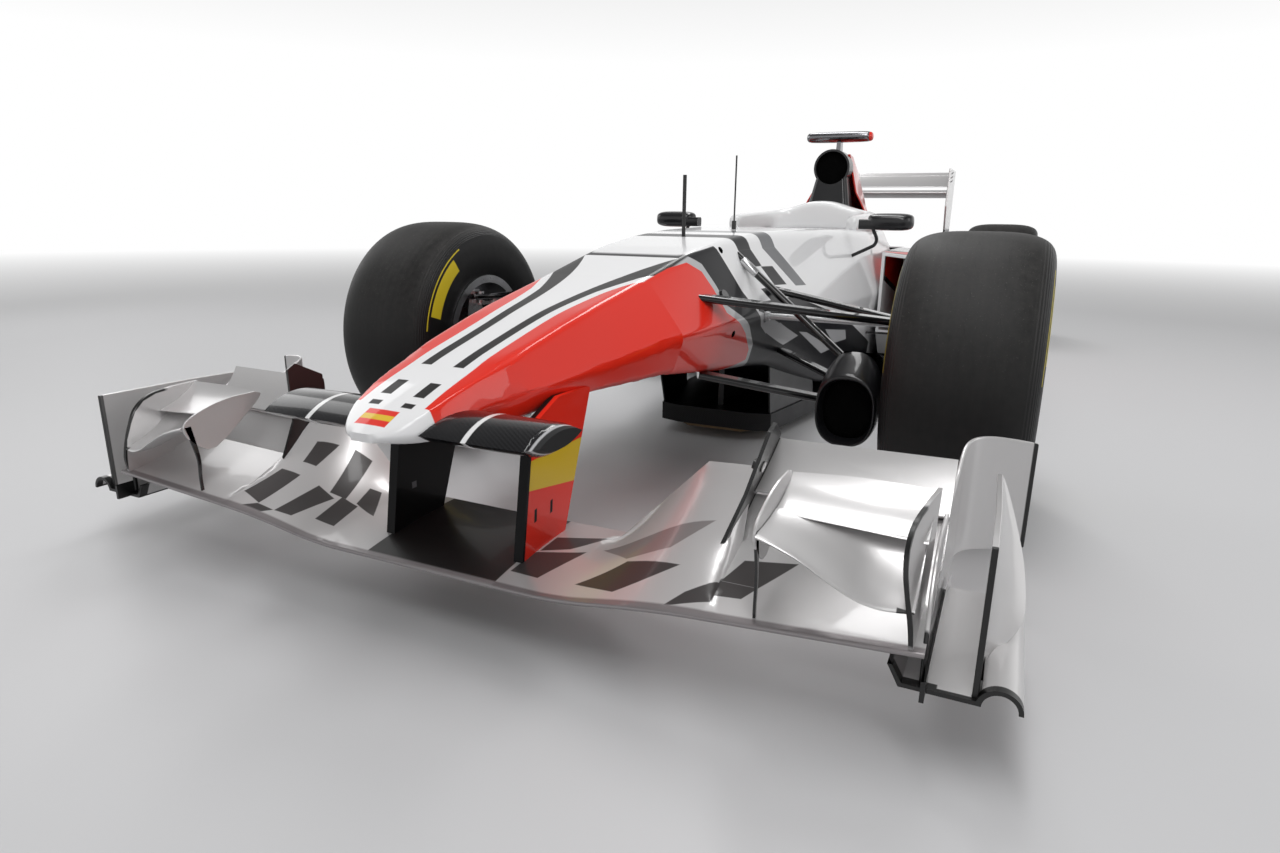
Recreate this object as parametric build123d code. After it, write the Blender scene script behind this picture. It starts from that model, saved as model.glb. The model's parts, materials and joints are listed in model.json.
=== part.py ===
from build123d import *
import os
from math import cos, radians, sin

# Open wheel racing car, full size, in millimetres.
# Stations run rearward from the front axle, heights run up from the ground,
# and widths run sideways from the middle of the car: its left is plus X.
# Pieces are modelled in stations and moved at the end, so that the origin lies on the ground
# under the middle of the car.

# Driving dimensions
wheelbase = 3200
nose_tip = -1140
tail_end = wheelbase + 600
half_width = 900
wheel_radius = 330
reference_height = 35
step_height = 85
chassis_top = 650

# Running clearances
touch_gap = 0.3
pin_clearance = 0.07
working_gap = 5

# Wheels and tyres
rim_radius = 165
rim_wall = 9
rim_flange_height = 13
rim_flange_width = 6
front_tyre_width = 305
front_rim_width = 290
front_wheel_x = half_width - front_tyre_width / 2
rear_tyre_width = 375
rear_rim_width = 350
rear_wheel_x = half_width - rear_tyre_width / 2
spoke_count = 10
spoke_thickness = 14
hub_radius = 55
axle_radius = 30
disc_radius = 125
disc_thickness = 28
nut_radius = 34
nut_length = 24

# Front corner
kingpin_x = half_width - 268
kingpin_high = 442
kingpin_low = 222
kingpin_radius = 8
eye_radius = 13
eye_height = 16
lug_thickness = 9
front_upright_inner = kingpin_x + 18
front_upright_outer = front_upright_inner + 40

# Steering
steering_arm = 70
track_rod_height = 432
track_rod_radius = 8
track_pin_radius = 6
track_eye_hole = 11.5
rack_radius = 12
column_station = 905
column_height = 560
column_rise_deg = 20

# Rear corner
rear_upright_inner = half_width - 320
rear_upright_outer = rear_upright_inner + 45
driveshaft_radius = 18

# Chassis
monocoque_front = -430
monocoque_back = 1900
cockpit_front = 790
cockpit_back = 1560
cockpit_half_width = 205
footwell_front = -60

# Bodywork
skin = 5
sidepod_front = 1250
airbox_station = 1815
airbox_height = 904
airbox_radius = 81
airbox_wall = 9

# Wings
front_wing_lead = -1025
neutral_half_width = 250
plane_tip_x = half_width - 118
plate_thickness = 6
rear_wing_half_width = 375
rear_plate_thickness = 10
rear_wing_top = 985
flap_pivot_station = tail_end - 29
flap_pivot_height = 957
flap_pin_radius = 4

os.makedirs("parts", exist_ok=True)
to_middle = Location((0, -(nose_tip + tail_end) / 2, 0))


def keep(name, shape):
    """Write one node, moved from stations to the middle of the car."""
    export_step(shape.moved(to_middle), f"parts/{name}.step")


def cross_plane(station):
    """A plane across the car: its x is the width and its y the height."""
    return Plane(origin=(0, station, 0), x_dir=(1, 0, 0), z_dir=(0, -1, 0))


def side_plane(x):
    """A plane along the car: its x is the station and its y the height."""
    return Plane(origin=(x, 0, 0), x_dir=(0, 1, 0), z_dir=(1, 0, 0))


def plan_plane(height):
    """A level plane: its x is the width and its y the station."""
    return Plane(origin=(0, 0, height), x_dir=(1, 0, 0), z_dir=(0, 0, 1))


def along(station, height):
    """The shift from the front axle's ground point to a station and height."""
    return Location((0, station, height))


def outline(plane, points, radius=0):
    """A closed face through points, with every corner rounded by the radius."""
    face = make_face(Polyline(*points, close=True))
    if radius:
        face = fillet(face.vertices(), radius)
    return plane * face


def hull_section(station, corners, radius=0):
    """A section that is the same on both sides, from (half width, height) corners, bottom first."""
    points = list(corners) + [(-x, z) for x, z in reversed(corners)]
    return outline(cross_plane(station), points, radius)


def wing_section(x, lead, trail, thick, sag, edge=4):
    """An aerofoil of arcs between its leading and trailing points, hollow upwards by sag."""
    reach = Vector(trail[0] - lead[0], trail[1] - lead[1])
    along = reach.normalized()
    up = Vector(-along.Y, along.X)
    front = Vector(*lead) + along * edge
    back = Vector(*trail)
    middle = Vector(*lead) + reach * 0.45 - up * sag
    nose_low = front - up * edge
    nose_high = front + up * edge
    tail_low = back - up * edge / 3
    tail_high = back + up * edge / 3
    edges = [
        ThreePointArc(nose_low, middle - up * thick / 2, tail_low),
        Line(tail_low, tail_high),
        ThreePointArc(tail_high, middle + up * thick / 2, nose_high),
        ThreePointArc(nose_high, Vector(*lead), nose_low),
    ]
    return side_plane(x) * make_face(Curve(children=edges))


def strut(start, end, width, thick, flat=(0, 1, 0)):
    """A bar with a rounded flat section from one point to another, its width along flat."""
    start, end = Vector(*start), Vector(*end)
    path = end - start
    side = Vector(*flat) - path.normalized() * Vector(*flat).dot(path.normalized())
    place = Plane(origin=start, x_dir=side, z_dir=path)
    return extrude(place * SlotOverall(width, thick), path.length)


def rod(start, end, radius):
    """A round bar from one point to another."""
    start, end = Vector(*start), Vector(*end)
    return extrude(Plane(origin=start, z_dir=end - start) * Circle(radius), (end - start).length)


def post(x, station, low, high, radius):
    """An upright cylinder."""
    return extrude(plan_plane(low) * Pos(x, station) * Circle(radius), high - low)


def block(x, station, height):
    """A box from three (low, high) pairs."""
    lengths = [b - a for a, b in (x, station, height)]
    middles = [(a + b) / 2 for a, b in (x, station, height)]
    return Pos(*middles) * Box(*lengths)


def other_side(shape):
    """The same piece on the right of the car."""
    return mirror(shape, Plane.YZ)


def both_sides(shape):
    """A left piece with its right twin, as solids that don't touch."""
    return Compound(children=[*shape.solids(), *other_side(shape).solids()])


def joined(*shapes):
    """Shapes as one node, kept apart as separate solids."""
    return Compound(children=[solid for shape in shapes for solid in shape.solids()])


def ring_x(low, high, outer, inner):
    """A ring about the X axis from one width to another."""
    place = Plane(origin=(low, 0, 0), x_dir=(0, 1, 0), z_dir=(1, 0, 0))
    face = place * Circle(outer)
    if inner:
        face -= place * Circle(inner)
    return extrude(face, high - low)


def hull(table, ruled=True):
    """A solid through a table's rows of half widths and heights, bottom first, with rounded edges."""
    sections = [
        hull_section(station, [bottom, crease, shoulder], radius)
        for station, shoulder, crease, bottom, radius in table
    ]
    return loft(sections, ruled=ruled)


# Nose cone: a rounded low tip, then straight lines up to the front bulkhead, flat on top
# between two shoulders
nose_table = [
    # station, shoulder (half, height), crease (half, height), bottom (half, height), radius
    (nose_tip, (22, 377), (28, 370), (20, 364), 4),
    (nose_tip + 22, (50, 388), (58, 371), (46, 357), 8),
    (-1070, (74, 409), (88, 377), (70, 352), 12),
    (-1000, (88, 432), (104, 388), (86, 350), 14),
    (-920, (100, 455), (122, 396), (104, 352), 16),
    (-700, (113, 508), (160, 412), (144, 364), 20),
    (monocoque_front, (122, 558), (212, 438), (184, 354), 28),
]
nose_cone = hull(nose_table[:5], ruled=False) + hull(nose_table[4:])
keep("nose_cone", nose_cone)

# Camera pods: short wings that reach out from the nose tip, each with a lens ring's seat
pod_lead = -1100
pod_chord = 144
pod_thick = 44
pod_tip_x = 264
pod_height = 372
pod_table = [
    # half width, leading station, chord, thickness
    (50, pod_lead, pod_chord, pod_thick),
    (170, pod_lead, pod_chord, pod_thick),
    (pod_tip_x - 16, pod_lead + 2, pod_chord - 2, pod_thick - 2),
    (pod_tip_x, pod_lead + 22, pod_chord - 24, pod_thick - 20),
]


def pod_section(x, lead, chord, thick):
    points = [(lead, pod_height), (lead + chord, pod_height)]
    upper = ThreePointArc(points[0], (lead + chord * 0.35, pod_height + thick / 2), points[1])
    lower = ThreePointArc(points[1], (lead + chord * 0.35, pod_height - thick / 2), points[0])
    return side_plane(x) * make_face(Curve(children=[upper, lower]))


pod = loft([pod_section(*row) for row in pod_table], ruled=True) - nose_cone
pod = max(pod.solids(), key=lambda solid: solid.volume)
keep("nose_camera_pods", both_sides(Part(children=[pod])))

# Front wing main plane: level and plain in the middle, twisting up outside it
main_plane_table = [
    # half width, lead (station, height), trail (station, height), thickness, sag
    (0, (front_wing_lead, 112), (-775, 132), 24, 3),
    (neutral_half_width, (front_wing_lead, 112), (-775, 134), 24, 3),
    (400, (front_wing_lead - 2, 136), (-768, 288), 22, 26),
    (478, (front_wing_lead - 2, 143), (-768, 292), 20, 26),
    (490, (front_wing_lead - 2, 144), (-852, 194), 18, 10),
    (plane_tip_x, (front_wing_lead - 2, 164), (-852, 206), 16, 10),
]
half_plane = loft([wing_section(*row) for row in main_plane_table], ruled=True)
main_plane = half_plane + other_side(half_plane)
keep("front_wing_main_plane", main_plane)

# Pylons: flat struts from the nose to the main plane's level middle
pylon_x = 137
pylon_thick = 18
pylon_outline = [(-958, 100), (-829, 100), (-718, 385), (-830, 385), (-917, 350)]
pylon = extrude(outline(side_plane(pylon_x - pylon_thick / 2), pylon_outline), pylon_thick)
pylon = pylon - nose_cone - main_plane
pylon = max(pylon.solids(), key=lambda solid: solid.volume)
keep("front_wing_pylons", both_sides(Part(children=[pylon])))

# Second element and flap behind the main plane, on a fence that leans outward, with its pivot
fence_foot_x = 456
fence_foot_height = 160
fence_lean_deg = 15
fence_lean = radians(fence_lean_deg)
fence_plane = Plane(
    origin=(fence_foot_x, 0, fence_foot_height),
    x_dir=(0, 1, 0),
    z_dir=(cos(fence_lean), 0, -sin(fence_lean)),
)
slot_tables = [
    [
        # half width, lead, trail, thickness, sag
        (fence_foot_x, (-840, 184), (-784, 250), 12, 8),
        (plane_tip_x, (-840, 198), (-784, 256), 12, 8),
    ],
    [
        (fence_foot_x, (-796, 258), (-740, 336), 12, 9),
        (plane_tip_x, (-796, 264), (-734, 337), 12, 9),
    ],
]
front_flap = fence_plane * outline(
    Plane.XY,
    [(-917, 8), (-842, 112), (-822, 216), (-800, 226), (-738, 192), (-764, 100), (-850, 14)],
    4,
)
front_flap = extrude(front_flap, plate_thickness)
for table in slot_tables:
    element = loft([wing_section(*row, edge=3) for row in table], ruled=True)
    front_flap += element - extrude(fence_plane * Rectangle(2000, 2000), -300)
pivot_boss = fence_plane * Pos(-800, 150, 0) * Cylinder(9, plate_thickness * 3)
front_flap = front_flap + pivot_boss - main_plane
front_flap = max(front_flap.solids(), key=lambda solid: solid.volume)
keep("front_wing_flaps", both_sides(Part(children=[front_flap])))

# Cascades: two small stacked wings between two fences, standing on the main plane
cascade_inner_x = 566
cascade_outer_x = plane_tip_x - plate_thickness - 10
cascade_span = cascade_outer_x - cascade_inner_x
lower_blade_table = [
    # share of the span, lead, trail, thickness, sag
    (0, (-1036, 284), (-940, 292), 9, 6),
    (0.27, (-1038, 272), (-928, 290), 9, 8),
    (0.53, (-1040, 252), (-918, 284), 9, 10),
    (0.78, (-1042, 230), (-924, 276), 9, 10),
    (1, (-1044, 218), (-934, 270), 9, 9),
]
upper_blade_table = [
    (0, (-938, 286), (-850, 322), 8, 8),
    (1, (-938, 280), (-856, 332), 8, 8),
]
blades = [
    loft(
        [
            wing_section(cascade_inner_x + share * cascade_span, lead, trail, thick, sag, edge=3)
            for share, lead, trail, thick, sag in table
        ],
        ruled=True,
    )
    for table in (lower_blade_table, upper_blade_table)
]
inner_fence_outline = [
    (-1018, 268),
    (-1036, 280),
    (-1026, 302),
    (-940, 318),
    (-858, 332),
    (-848, 318),
    (-936, 266),
]
stay_outline = [(-1020, 130), (-1010, 130), (-1008, 276), (-1018, 276)]
outer_fence_outline = [
    (-980, 150),
    (-986, 196),
    (-1052, 244),
    (-1064, 300),
    (-1040, 322),
    (-860, 346),
    (-844, 332),
    (-930, 150),
]
cascade_fences = [
    extrude(outline(side_plane(x), points), plate_thickness)
    for x, points in (
        (cascade_inner_x - plate_thickness, inner_fence_outline),
        (cascade_inner_x - plate_thickness, stay_outline),
        (cascade_outer_x, outer_fence_outline),
    )
]
cascade = blades[0] + blades[1] + cascade_fences - main_plane - front_flap
cascade = max(cascade.solids(), key=lambda solid: solid.volume)
keep("front_wing_cascades", both_sides(Part(children=[cascade])))

# End plates: a wall that turns outward ahead of the tyre, a curved outer vane and a footplate
endplate_top = 310
foot_height = 110
foot_thick = 6
wall_front = -1040
wall_back = -440
wall_edge_x = half_width - 2
wall_outer_x = plane_tip_x + plate_thickness
foot_top = foot_height + foot_thick
wall_bend = -732
wall_inner = [
    Line((plane_tip_x, wall_front), (plane_tip_x, wall_bend)),
    ThreePointArc((plane_tip_x, wall_bend), (plane_tip_x + 7, -684), (plane_tip_x + 28, -640)),
    ThreePointArc((plane_tip_x + 28, -640), (plane_tip_x + 62, -540), (wall_edge_x - 8, wall_back)),
]
wall_outer = [
    Line((wall_edge_x - 8, wall_back), (wall_edge_x, wall_back - 6)),
    ThreePointArc((wall_edge_x, wall_back - 6), (plane_tip_x + 68, -546), (plane_tip_x + 34, -643)),
    ThreePointArc((plane_tip_x + 34, -643), (plane_tip_x + 13, -686), (wall_outer_x, wall_bend)),
    Line((wall_outer_x, wall_bend), (wall_outer_x, wall_front)),
    Line((wall_outer_x, wall_front), (plane_tip_x, wall_front)),
]
wall_face = make_face(Curve(children=wall_inner + wall_outer))
endplate_wall = extrude(plan_plane(foot_height) * wall_face, endplate_top - foot_height)
front_cut_outline = [(-1080, 240), (wall_front, 170), (-1002, 296), (-984, endplate_top), (-1080, 340)]
endplate_wall -= extrude(outline(side_plane(plane_tip_x - 10), front_cut_outline), 60)
vane_x = half_width - 54
vane_face = make_face(
    Curve(
        children=[
            Line((vane_x, -1004), (vane_x, -820)),
            ThreePointArc((vane_x, -820), (vane_x + 10, -700), (vane_x + 42, -606)),
            Line((vane_x + 42, -606), (vane_x + 47, -608)),
            ThreePointArc((vane_x + 47, -608), (vane_x + 15, -702), (vane_x + 5, -820)),
            Line((vane_x + 5, -820), (vane_x + 5, -1004)),
            Line((vane_x + 5, -1004), (vane_x, -1004)),
        ]
    )
)
vane_outline = [
    (-1010, foot_height),
    (-1010, 240),
    (-984, 290),
    (-900, 304),
    (-760, 298),
    (-600, 140),
    (-600, foot_height),
]
outer_vane = extrude(plan_plane(foot_height) * vane_face, 220)
outer_vane &= extrude(outline(side_plane(vane_x - 10), vane_outline), 90)
foot_inner_x = plane_tip_x - 38
arch_x = half_width - 27
arch_radius = 21
foot_profile = [
    Line((foot_inner_x, 140), (foot_inner_x + 14, foot_top)),
    Line((foot_inner_x + 14, foot_top), (plane_tip_x, foot_top)),
    Line((plane_tip_x, foot_top), (vane_x, foot_top)),
    ThreePointArc((vane_x, foot_top), (arch_x, foot_height + 27), (half_width, foot_height)),
    Line((half_width, foot_height), (foot_inner_x + 10, foot_height)),
    Line((foot_inner_x + 10, foot_height), (foot_inner_x - 6, 140)),
    Line((foot_inner_x - 6, 140), (foot_inner_x, 140)),
]
foot = extrude(cross_plane(-560) * make_face(Curve(children=foot_profile)), 456)
foot -= block((foot_inner_x - 20, plane_tip_x), (-860, -500), (foot_height - 20, 200))
arch_hollow = extrude(cross_plane(-540) * Pos(arch_x, foot_height) * Circle(arch_radius), 500)
endplate = endplate_wall + outer_vane + foot - arch_hollow - main_plane - front_flap
endplate = max(endplate.solids(), key=lambda solid: solid.volume)
keep("front_wing_endplates", both_sides(Part(children=[endplate])))

# Monocoque: the tub from the front bulkhead to the engine, hollow from the footwell to the seat
tub_table = [
    # station, shoulder, crease, bottom, radius
    nose_table[-1],
    (-170, (136, chassis_top - 40), (232, 440), (198, 318), 34),
    (30, (148, chassis_top - 19), (240, 437), (202, 296), 34),
    (260, (168, chassis_top - 6), (250, 432), (208, 266), 36),
    (760, (230, chassis_top), (302, 400), (256, 120), 40),
    (1250, (282, 640), (338, 400), (300, 96), 40),
    (monocoque_back, (236, 640), (332, 420), (300, 96), 40),
]
tub_outer = hull(tub_table)
floor_thick = 6
floor_top = step_height + floor_thick
tub_outer -= Pos(0, monocoque_back / 2, floor_top + touch_gap - 500) * Box(2000, 6000, 1000)
cavity_table = [
    # station, shoulder, crease, bottom
    (footwell_front, (126, chassis_top - 54), (212, 440), (180, 330)),
    (260, (148, chassis_top - 30), (226, 430), (188, 286)),
    (760, (200, chassis_top - 22), (268, 400), (232, 142)),
    (1250, (225, 620), (280, 400), (250, 120)),
    (cockpit_back, (225, 620), (280, 410), (250, 120)),
]
cavity = loft(
    [hull_section(s, [bottom, crease, shoulder], 24) for s, shoulder, crease, bottom in cavity_table],
    ruled=True,
)
cockpit_opening = [
    (cockpit_half_width - 40, cockpit_front),
    (cockpit_half_width, cockpit_front + 150),
    (cockpit_half_width, cockpit_back),
    (-cockpit_half_width, cockpit_back),
    (-cockpit_half_width, cockpit_front + 150),
    (-cockpit_half_width + 40, cockpit_front),
]
opening = extrude(outline(plan_plane(540), cockpit_opening, 30), 300)
rack_tunnel = ring_x(-400, 400, rack_radius + working_gap, 0).moved(along(steering_arm, track_rod_height))
monocoque = tub_outer - cavity - opening - rack_tunnel
keep("monocoque", monocoque)

# Headrest: a padded horseshoe round the back of the cockpit
headrest_plan = [
    (cockpit_half_width + 4, 1130),
    (262, 1150),
    (268, 1700),
    (-268, 1700),
    (-262, 1150),
    (-cockpit_half_width - 4, 1130),
    (-cockpit_half_width + 30, 1480),
    (-cockpit_half_width + 75, cockpit_back - 30),
    (cockpit_half_width - 75, cockpit_back - 30),
    (cockpit_half_width - 30, 1480),
]
headrest = extrude(outline(plan_plane(600), headrest_plan, 12), 200)
headrest_trim = outline(side_plane(-400), [(1100, 690), (1400, 716), (1730, 775), (1730, 900), (1100, 900)])
headrest = headrest - extrude(headrest_trim, 800) - tub_outer
keep("headrest", headrest)

# Seat: a reclined shell with raised sides
seat_half_width = 205
seat_profile = [
    Line((1060, 235), (1130, 150)),
    ThreePointArc((1130, 150), (1180, 126), (1240, 140)),
    Line((1240, 140), (1535, 520)),
    Line((1535, 520), (1525, 530)),
    Line((1525, 530), (1228, 153)),
    ThreePointArc((1228, 153), (1182, 142), (1142, 160)),
    Line((1142, 160), (1072, 243)),
    Line((1072, 243), (1060, 235)),
]
seat_face = side_plane(-seat_half_width) * make_face(Curve(children=seat_profile))
seat_back = extrude(seat_face, seat_half_width * 2)
seat_side_outline = [
    (1060, 240),
    (1130, 150),
    (1240, 140),
    (1525, 515),
    (1440, 540),
    (1250, 330),
    (1120, 300),
]
seat_sides = [
    extrude(outline(side_plane(x), seat_side_outline), 10)
    for x in (-seat_half_width, seat_half_width - 10)
]
seat_foot = block((-60, 60), (1150, 1210), (80, 146)) & cavity
seat = seat_back + seat_sides[0] + seat_sides[1] + seat_foot
keep("seat", seat)

# Steering wheel on its column
column_axis = Vector(0, cos(radians(column_rise_deg)), sin(radians(column_rise_deg)))
column_place = Plane(
    origin=(0, column_station, column_height), x_dir=(1, 0, 0), z_dir=column_axis
)
grip_width = 268
grip_height = 150
wheel_thickness = 26
steering_face = RectangleRounded(grip_width, grip_height, 38)
steering_face -= Pos(0, 52) * RectangleRounded(150, 60, 20)
steering_face -= Pos(0, -62) * RectangleRounded(110, 40, 16)
steering_face -= [Pos(x, 6) * RectangleRounded(22, 62, 10) for x in (-92, 92)]
steering_wheel = extrude(column_place * steering_face, wheel_thickness)
column_radius = 12
column_length = 150
column = extrude(column_place * Circle(column_radius), -column_length)
paddle = extrude(column_place.offset(-16) * RectangleRounded(200, 34, 12), 6)
steering_wheel = steering_wheel + column + paddle
keep("steering_wheel", steering_wheel)

# Dash hoop that carries the column, inside the front of the cockpit
dash_thickness = 14
dash_rise = 60
dash_place = column_place.offset(-column_length + 30)
dash_face = Pos(0, -dash_rise) * Rectangle(600, 30)
dash_face += Pos(0, -dash_rise / 2) * RectangleRounded(90, 90 + dash_rise, 20)
dash_face -= Circle(column_radius + pin_clearance)
dash = extrude(dash_place * dash_face, dash_thickness) & tub_outer
dash = max((dash - monocoque).solids(), key=lambda solid: solid.volume)
rack_housing = ring_x(-90, 90, rack_radius + 8, 0).moved(along(steering_arm, track_rod_height))
rack_foot = block((-30, 30), (steering_arm - 8, steering_arm + 8), (260, track_rod_height))
rack_bore = ring_x(-100, 100, rack_radius + pin_clearance, 0).moved(along(steering_arm, track_rod_height))
rack_mount = rack_housing + rack_foot - rack_bore
rack_mount = max((rack_mount - monocoque).solids(), key=lambda solid: solid.volume)
keep("steering_mounts", Compound(children=[dash, rack_mount]))

# Steering rack: one bar through the tub with an eye at each end
rack_half = kingpin_x
rack = rod((-250, steering_arm, track_rod_height), (250, steering_arm, track_rod_height), rack_radius)
rack_rods = rod(
    (-rack_half + 15, steering_arm, track_rod_height),
    (rack_half - 15, steering_arm, track_rod_height),
    track_rod_radius,
)
rack_eyes = [
    post(x, steering_arm, track_rod_height - 5, track_rod_height + 5, track_eye_hole + 5)
    for x in (-rack_half, rack_half)
]
rack_holes = [
    post(x, steering_arm, track_rod_height - 20, track_rod_height + 20, track_eye_hole)
    for x in (-rack_half, rack_half)
]
steering_rack = rack + rack_rods + rack_eyes - rack_holes
keep("steering_rack", steering_rack)

# Front uprights: a machined block with a fork at each wishbone, the hub bore and the caliper
upright_outline = [
    (-24, kingpin_low - 22),
    (24, kingpin_low - 22),
    (50, wheel_radius),
    (24, kingpin_high + 22),
    (-24, kingpin_high + 22),
    (-50, wheel_radius),
]
upright = extrude(
    outline(side_plane(front_upright_inner), upright_outline, 8),
    front_upright_outer - front_upright_inner,
)
upright += ring_x(front_upright_inner - 8, front_upright_outer, 50, 0).moved(along(0, wheel_radius))
for ball_height in (kingpin_low, kingpin_high):
    for side in (-1, 1):
        inner = ball_height + side * (eye_height / 2 + touch_gap)
        outer = inner + side * lug_thickness
        low, high = min(inner, outer), max(inner, outer)
        upright += post(kingpin_x, 0, low, high, eye_radius)
        upright += block((kingpin_x, front_upright_inner + 4), (-eye_radius, eye_radius), (low, high))
    upright += post(kingpin_x, 0, ball_height - 12, ball_height + 12, kingpin_radius)
arm_top = track_rod_height - 5 - touch_gap
upright += block((kingpin_x, front_upright_inner + 12), (0, steering_arm), (arm_top - 10, arm_top))
upright += post(kingpin_x, steering_arm, arm_top - 10, arm_top, 14)
upright += post(kingpin_x, steering_arm, arm_top - 5, track_rod_height + 9, track_pin_radius)
upright -= post(kingpin_x, 0, track_rod_height - 16, kingpin_high - eye_height / 2 - 12, 17)
caliper_ring = ring_x(front_upright_outer - 1, front_upright_outer + 72, 145, 72)
caliper_slot = ring_x(front_upright_outer + 14, front_upright_outer + 56, disc_radius + working_gap, 60)
caliper_sector = outline(side_plane(front_upright_outer - 10), [(0, 0), (260, -115), (260, 115)])
caliper = (caliper_ring & extrude(caliper_sector, 300)) - caliper_slot
caliper = caliper.moved(along(0, wheel_radius))
upright += caliper
caliper_bracket_height = (wheel_radius - 26, wheel_radius + 26)
upright += block((front_upright_outer - 20, front_upright_outer), (30, 100), caliper_bracket_height)
axle_bore = ring_x(front_upright_inner - 20, half_width, axle_radius + pin_clearance, 0)
upright -= axle_bore.moved(along(0, wheel_radius))
hub_room = ring_x(front_upright_outer, half_width, hub_radius + working_gap, 0)
upright -= hub_room.moved(along(0, wheel_radius))
keep("front_left_upright", upright)
keep("front_right_upright", other_side(upright))

# Brake ducts: a tall scoop inboard of the tyre, a neck into the wheel and a back plate
duct_wall = 3
duct_corner = 16


def duct_section(station, x, height, inset=0):
    """An opening of the scoop with cut corners, from its (low, high) widths and heights."""
    low_x, high_x = x[0] + inset, x[1] - inset
    low, high = height[0] + inset, height[1] - inset
    cut = duct_corner - inset / 2
    points = [
        (low_x + cut, low),
        (high_x - cut, low),
        (high_x, low + cut),
        (high_x, high - cut),
        (high_x - cut, high),
        (low_x + cut, high),
        (low_x, high - cut),
        (low_x, low + cut),
    ]
    return outline(cross_plane(station), points)


duct_inner_x = kingpin_x - 172
duct_outer_x = kingpin_x - 46
duct_neck_x = kingpin_x - 57
mouth_rows = [
    (-255, (duct_inner_x - 4, duct_outer_x), (176, 394)),
    (-200, (duct_inner_x, duct_outer_x), (176, 402)),
]
dome_rows = [
    (-200, (duct_inner_x, duct_outer_x), (288, 402)),
    (-72, (duct_outer_x - 50, duct_outer_x), (298, 374)),
]
duct = loft([duct_section(*row) for row in mouth_rows], ruled=True)
duct += loft([duct_section(*row) for row in dome_rows], ruled=True)
neck_span = (duct_neck_x, front_upright_outer + 1)
duct += block(neck_span, (-126, -72), (294, 372))
back_plate_x = front_upright_outer + touch_gap
back_plate = ring_x(back_plate_x, back_plate_x + duct_wall, 142, hub_radius + 9)
back_plate -= extrude(outline(side_plane(front_upright_inner), [(0, 0), (280, -150), (280, 150)]), 300)
duct += back_plate.moved(along(0, wheel_radius))
duct -= loft(
    [
        duct_section(-256, mouth_rows[0][1], mouth_rows[0][2], duct_wall),
        duct_section(-200 - duct_wall, mouth_rows[1][1], mouth_rows[1][2], duct_wall),
    ],
    ruled=True,
)
duct -= loft(
    [
        duct_section(-216, (duct_inner_x + 4, duct_outer_x - 2), (295, 398), duct_wall),
        duct_section(-77, (duct_outer_x - 44, duct_outer_x - 2), (301, 372), duct_wall),
    ],
    ruled=True,
)
duct -= block((duct_neck_x - 10, front_upright_outer + 10), (-123, -78), (297, 369))
duct = duct - upright
duct = max(duct.solids(), key=lambda solid: solid.volume)
duct = Part(children=[duct])
keep("front_left_brake_duct", duct)
keep("front_right_brake_duct", other_side(duct))

# Front wishbones and pushrods
front_arms_table = [
    # inner end (half width, station, height), outer end, width, thickness
    ((168, -256, 506), (kingpin_x, 0, kingpin_high), 46, 16),
    ((196, 187, 497), (kingpin_x, 0, kingpin_high), 40, 16),
    ((172, -242, 324), (kingpin_x, 0, kingpin_low), 40, 16),
    ((196, 306, 316), (kingpin_x, 0, kingpin_low), 40, 16),
]


def wishbone_pair(rows, ball_height):
    """Two legs that meet at an eye, with room round the eye for the fork."""
    legs = [strut(inner, outer, width, thick) for inner, outer, width, thick in rows]
    arm = legs[0] + legs[1]
    arm -= post(kingpin_x, 0, ball_height - 40, ball_height + 40, 24)
    tip = block((kingpin_x - 40, kingpin_x), (-11, 11), (ball_height - 8, ball_height + 8))
    arm = arm + tip + post(kingpin_x, 0, ball_height - 8, ball_height + 8, eye_radius)
    arm -= post(kingpin_x, 0, ball_height - 20, ball_height + 20, kingpin_radius + pin_clearance)
    return arm


upper_front = wishbone_pair(front_arms_table[:2], kingpin_high) - monocoque
lower_front = wishbone_pair(front_arms_table[2:], kingpin_low) - monocoque
pushrod_foot = (kingpin_x - 42, -4, kingpin_low + 24)
pushrod = strut((160, 42, 590), pushrod_foot, 26, 18)
lower_with_rod = lower_front + pushrod - monocoque
arm_pieces = [
    max(piece.solids(), key=lambda solid: solid.volume) for piece in (upper_front, lower_with_rod)
]
keep("front_suspension_arms", both_sides(Part(children=arm_pieces)))

# Rims, hubs, discs and nuts
def wheel(rim_width, bore_inner, bore_outer):
    """A left wheel about its own middle: rim, spokes, hub, brake disc, axle and nut."""
    half = rim_width / 2
    flange = rim_radius + rim_flange_height
    barrel = ring_x(-half, half, rim_radius, rim_radius - rim_wall)
    for side in (-1, 1):
        edge = side * half
        low, high = sorted((edge, edge - side * rim_flange_width))
        barrel += ring_x(low, high, flange, rim_radius - rim_wall)
    axle = ring_x(bore_inner, bore_outer + 6, axle_radius, 0)
    hub = ring_x(bore_outer + touch_gap, 52, hub_radius, 0)
    disc_low = bore_outer + 21
    disc = ring_x(disc_low, disc_low + disc_thickness, disc_radius, 0)
    centre = ring_x(28, 66, hub_radius + 6, 0)
    nut = ring_x(66, 66 + nut_length, nut_radius, 0)
    spoke_profile = [(30, 50), (62, 50), (half - 42, rim_radius - 4), (half - 70, rim_radius - 4)]
    spoke_face = Plane.XZ * make_face(Polyline(*spoke_profile, close=True))
    spoke = extrude(spoke_face, spoke_thickness / 2, both=True)
    spokes = [spoke.rotate(Axis.X, turn * 360 / spoke_count) for turn in range(spoke_count)]
    return barrel + axle + hub + disc + centre + nut + spokes


front_bearing = (front_upright_inner - 8 - front_wheel_x, front_upright_outer - front_wheel_x)
front_wheel = wheel(front_rim_width, *front_bearing)
rear_bearing = (rear_upright_inner - 6 - rear_wheel_x, rear_upright_outer - rear_wheel_x)
rear_wheel = wheel(rear_rim_width, *rear_bearing)


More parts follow.
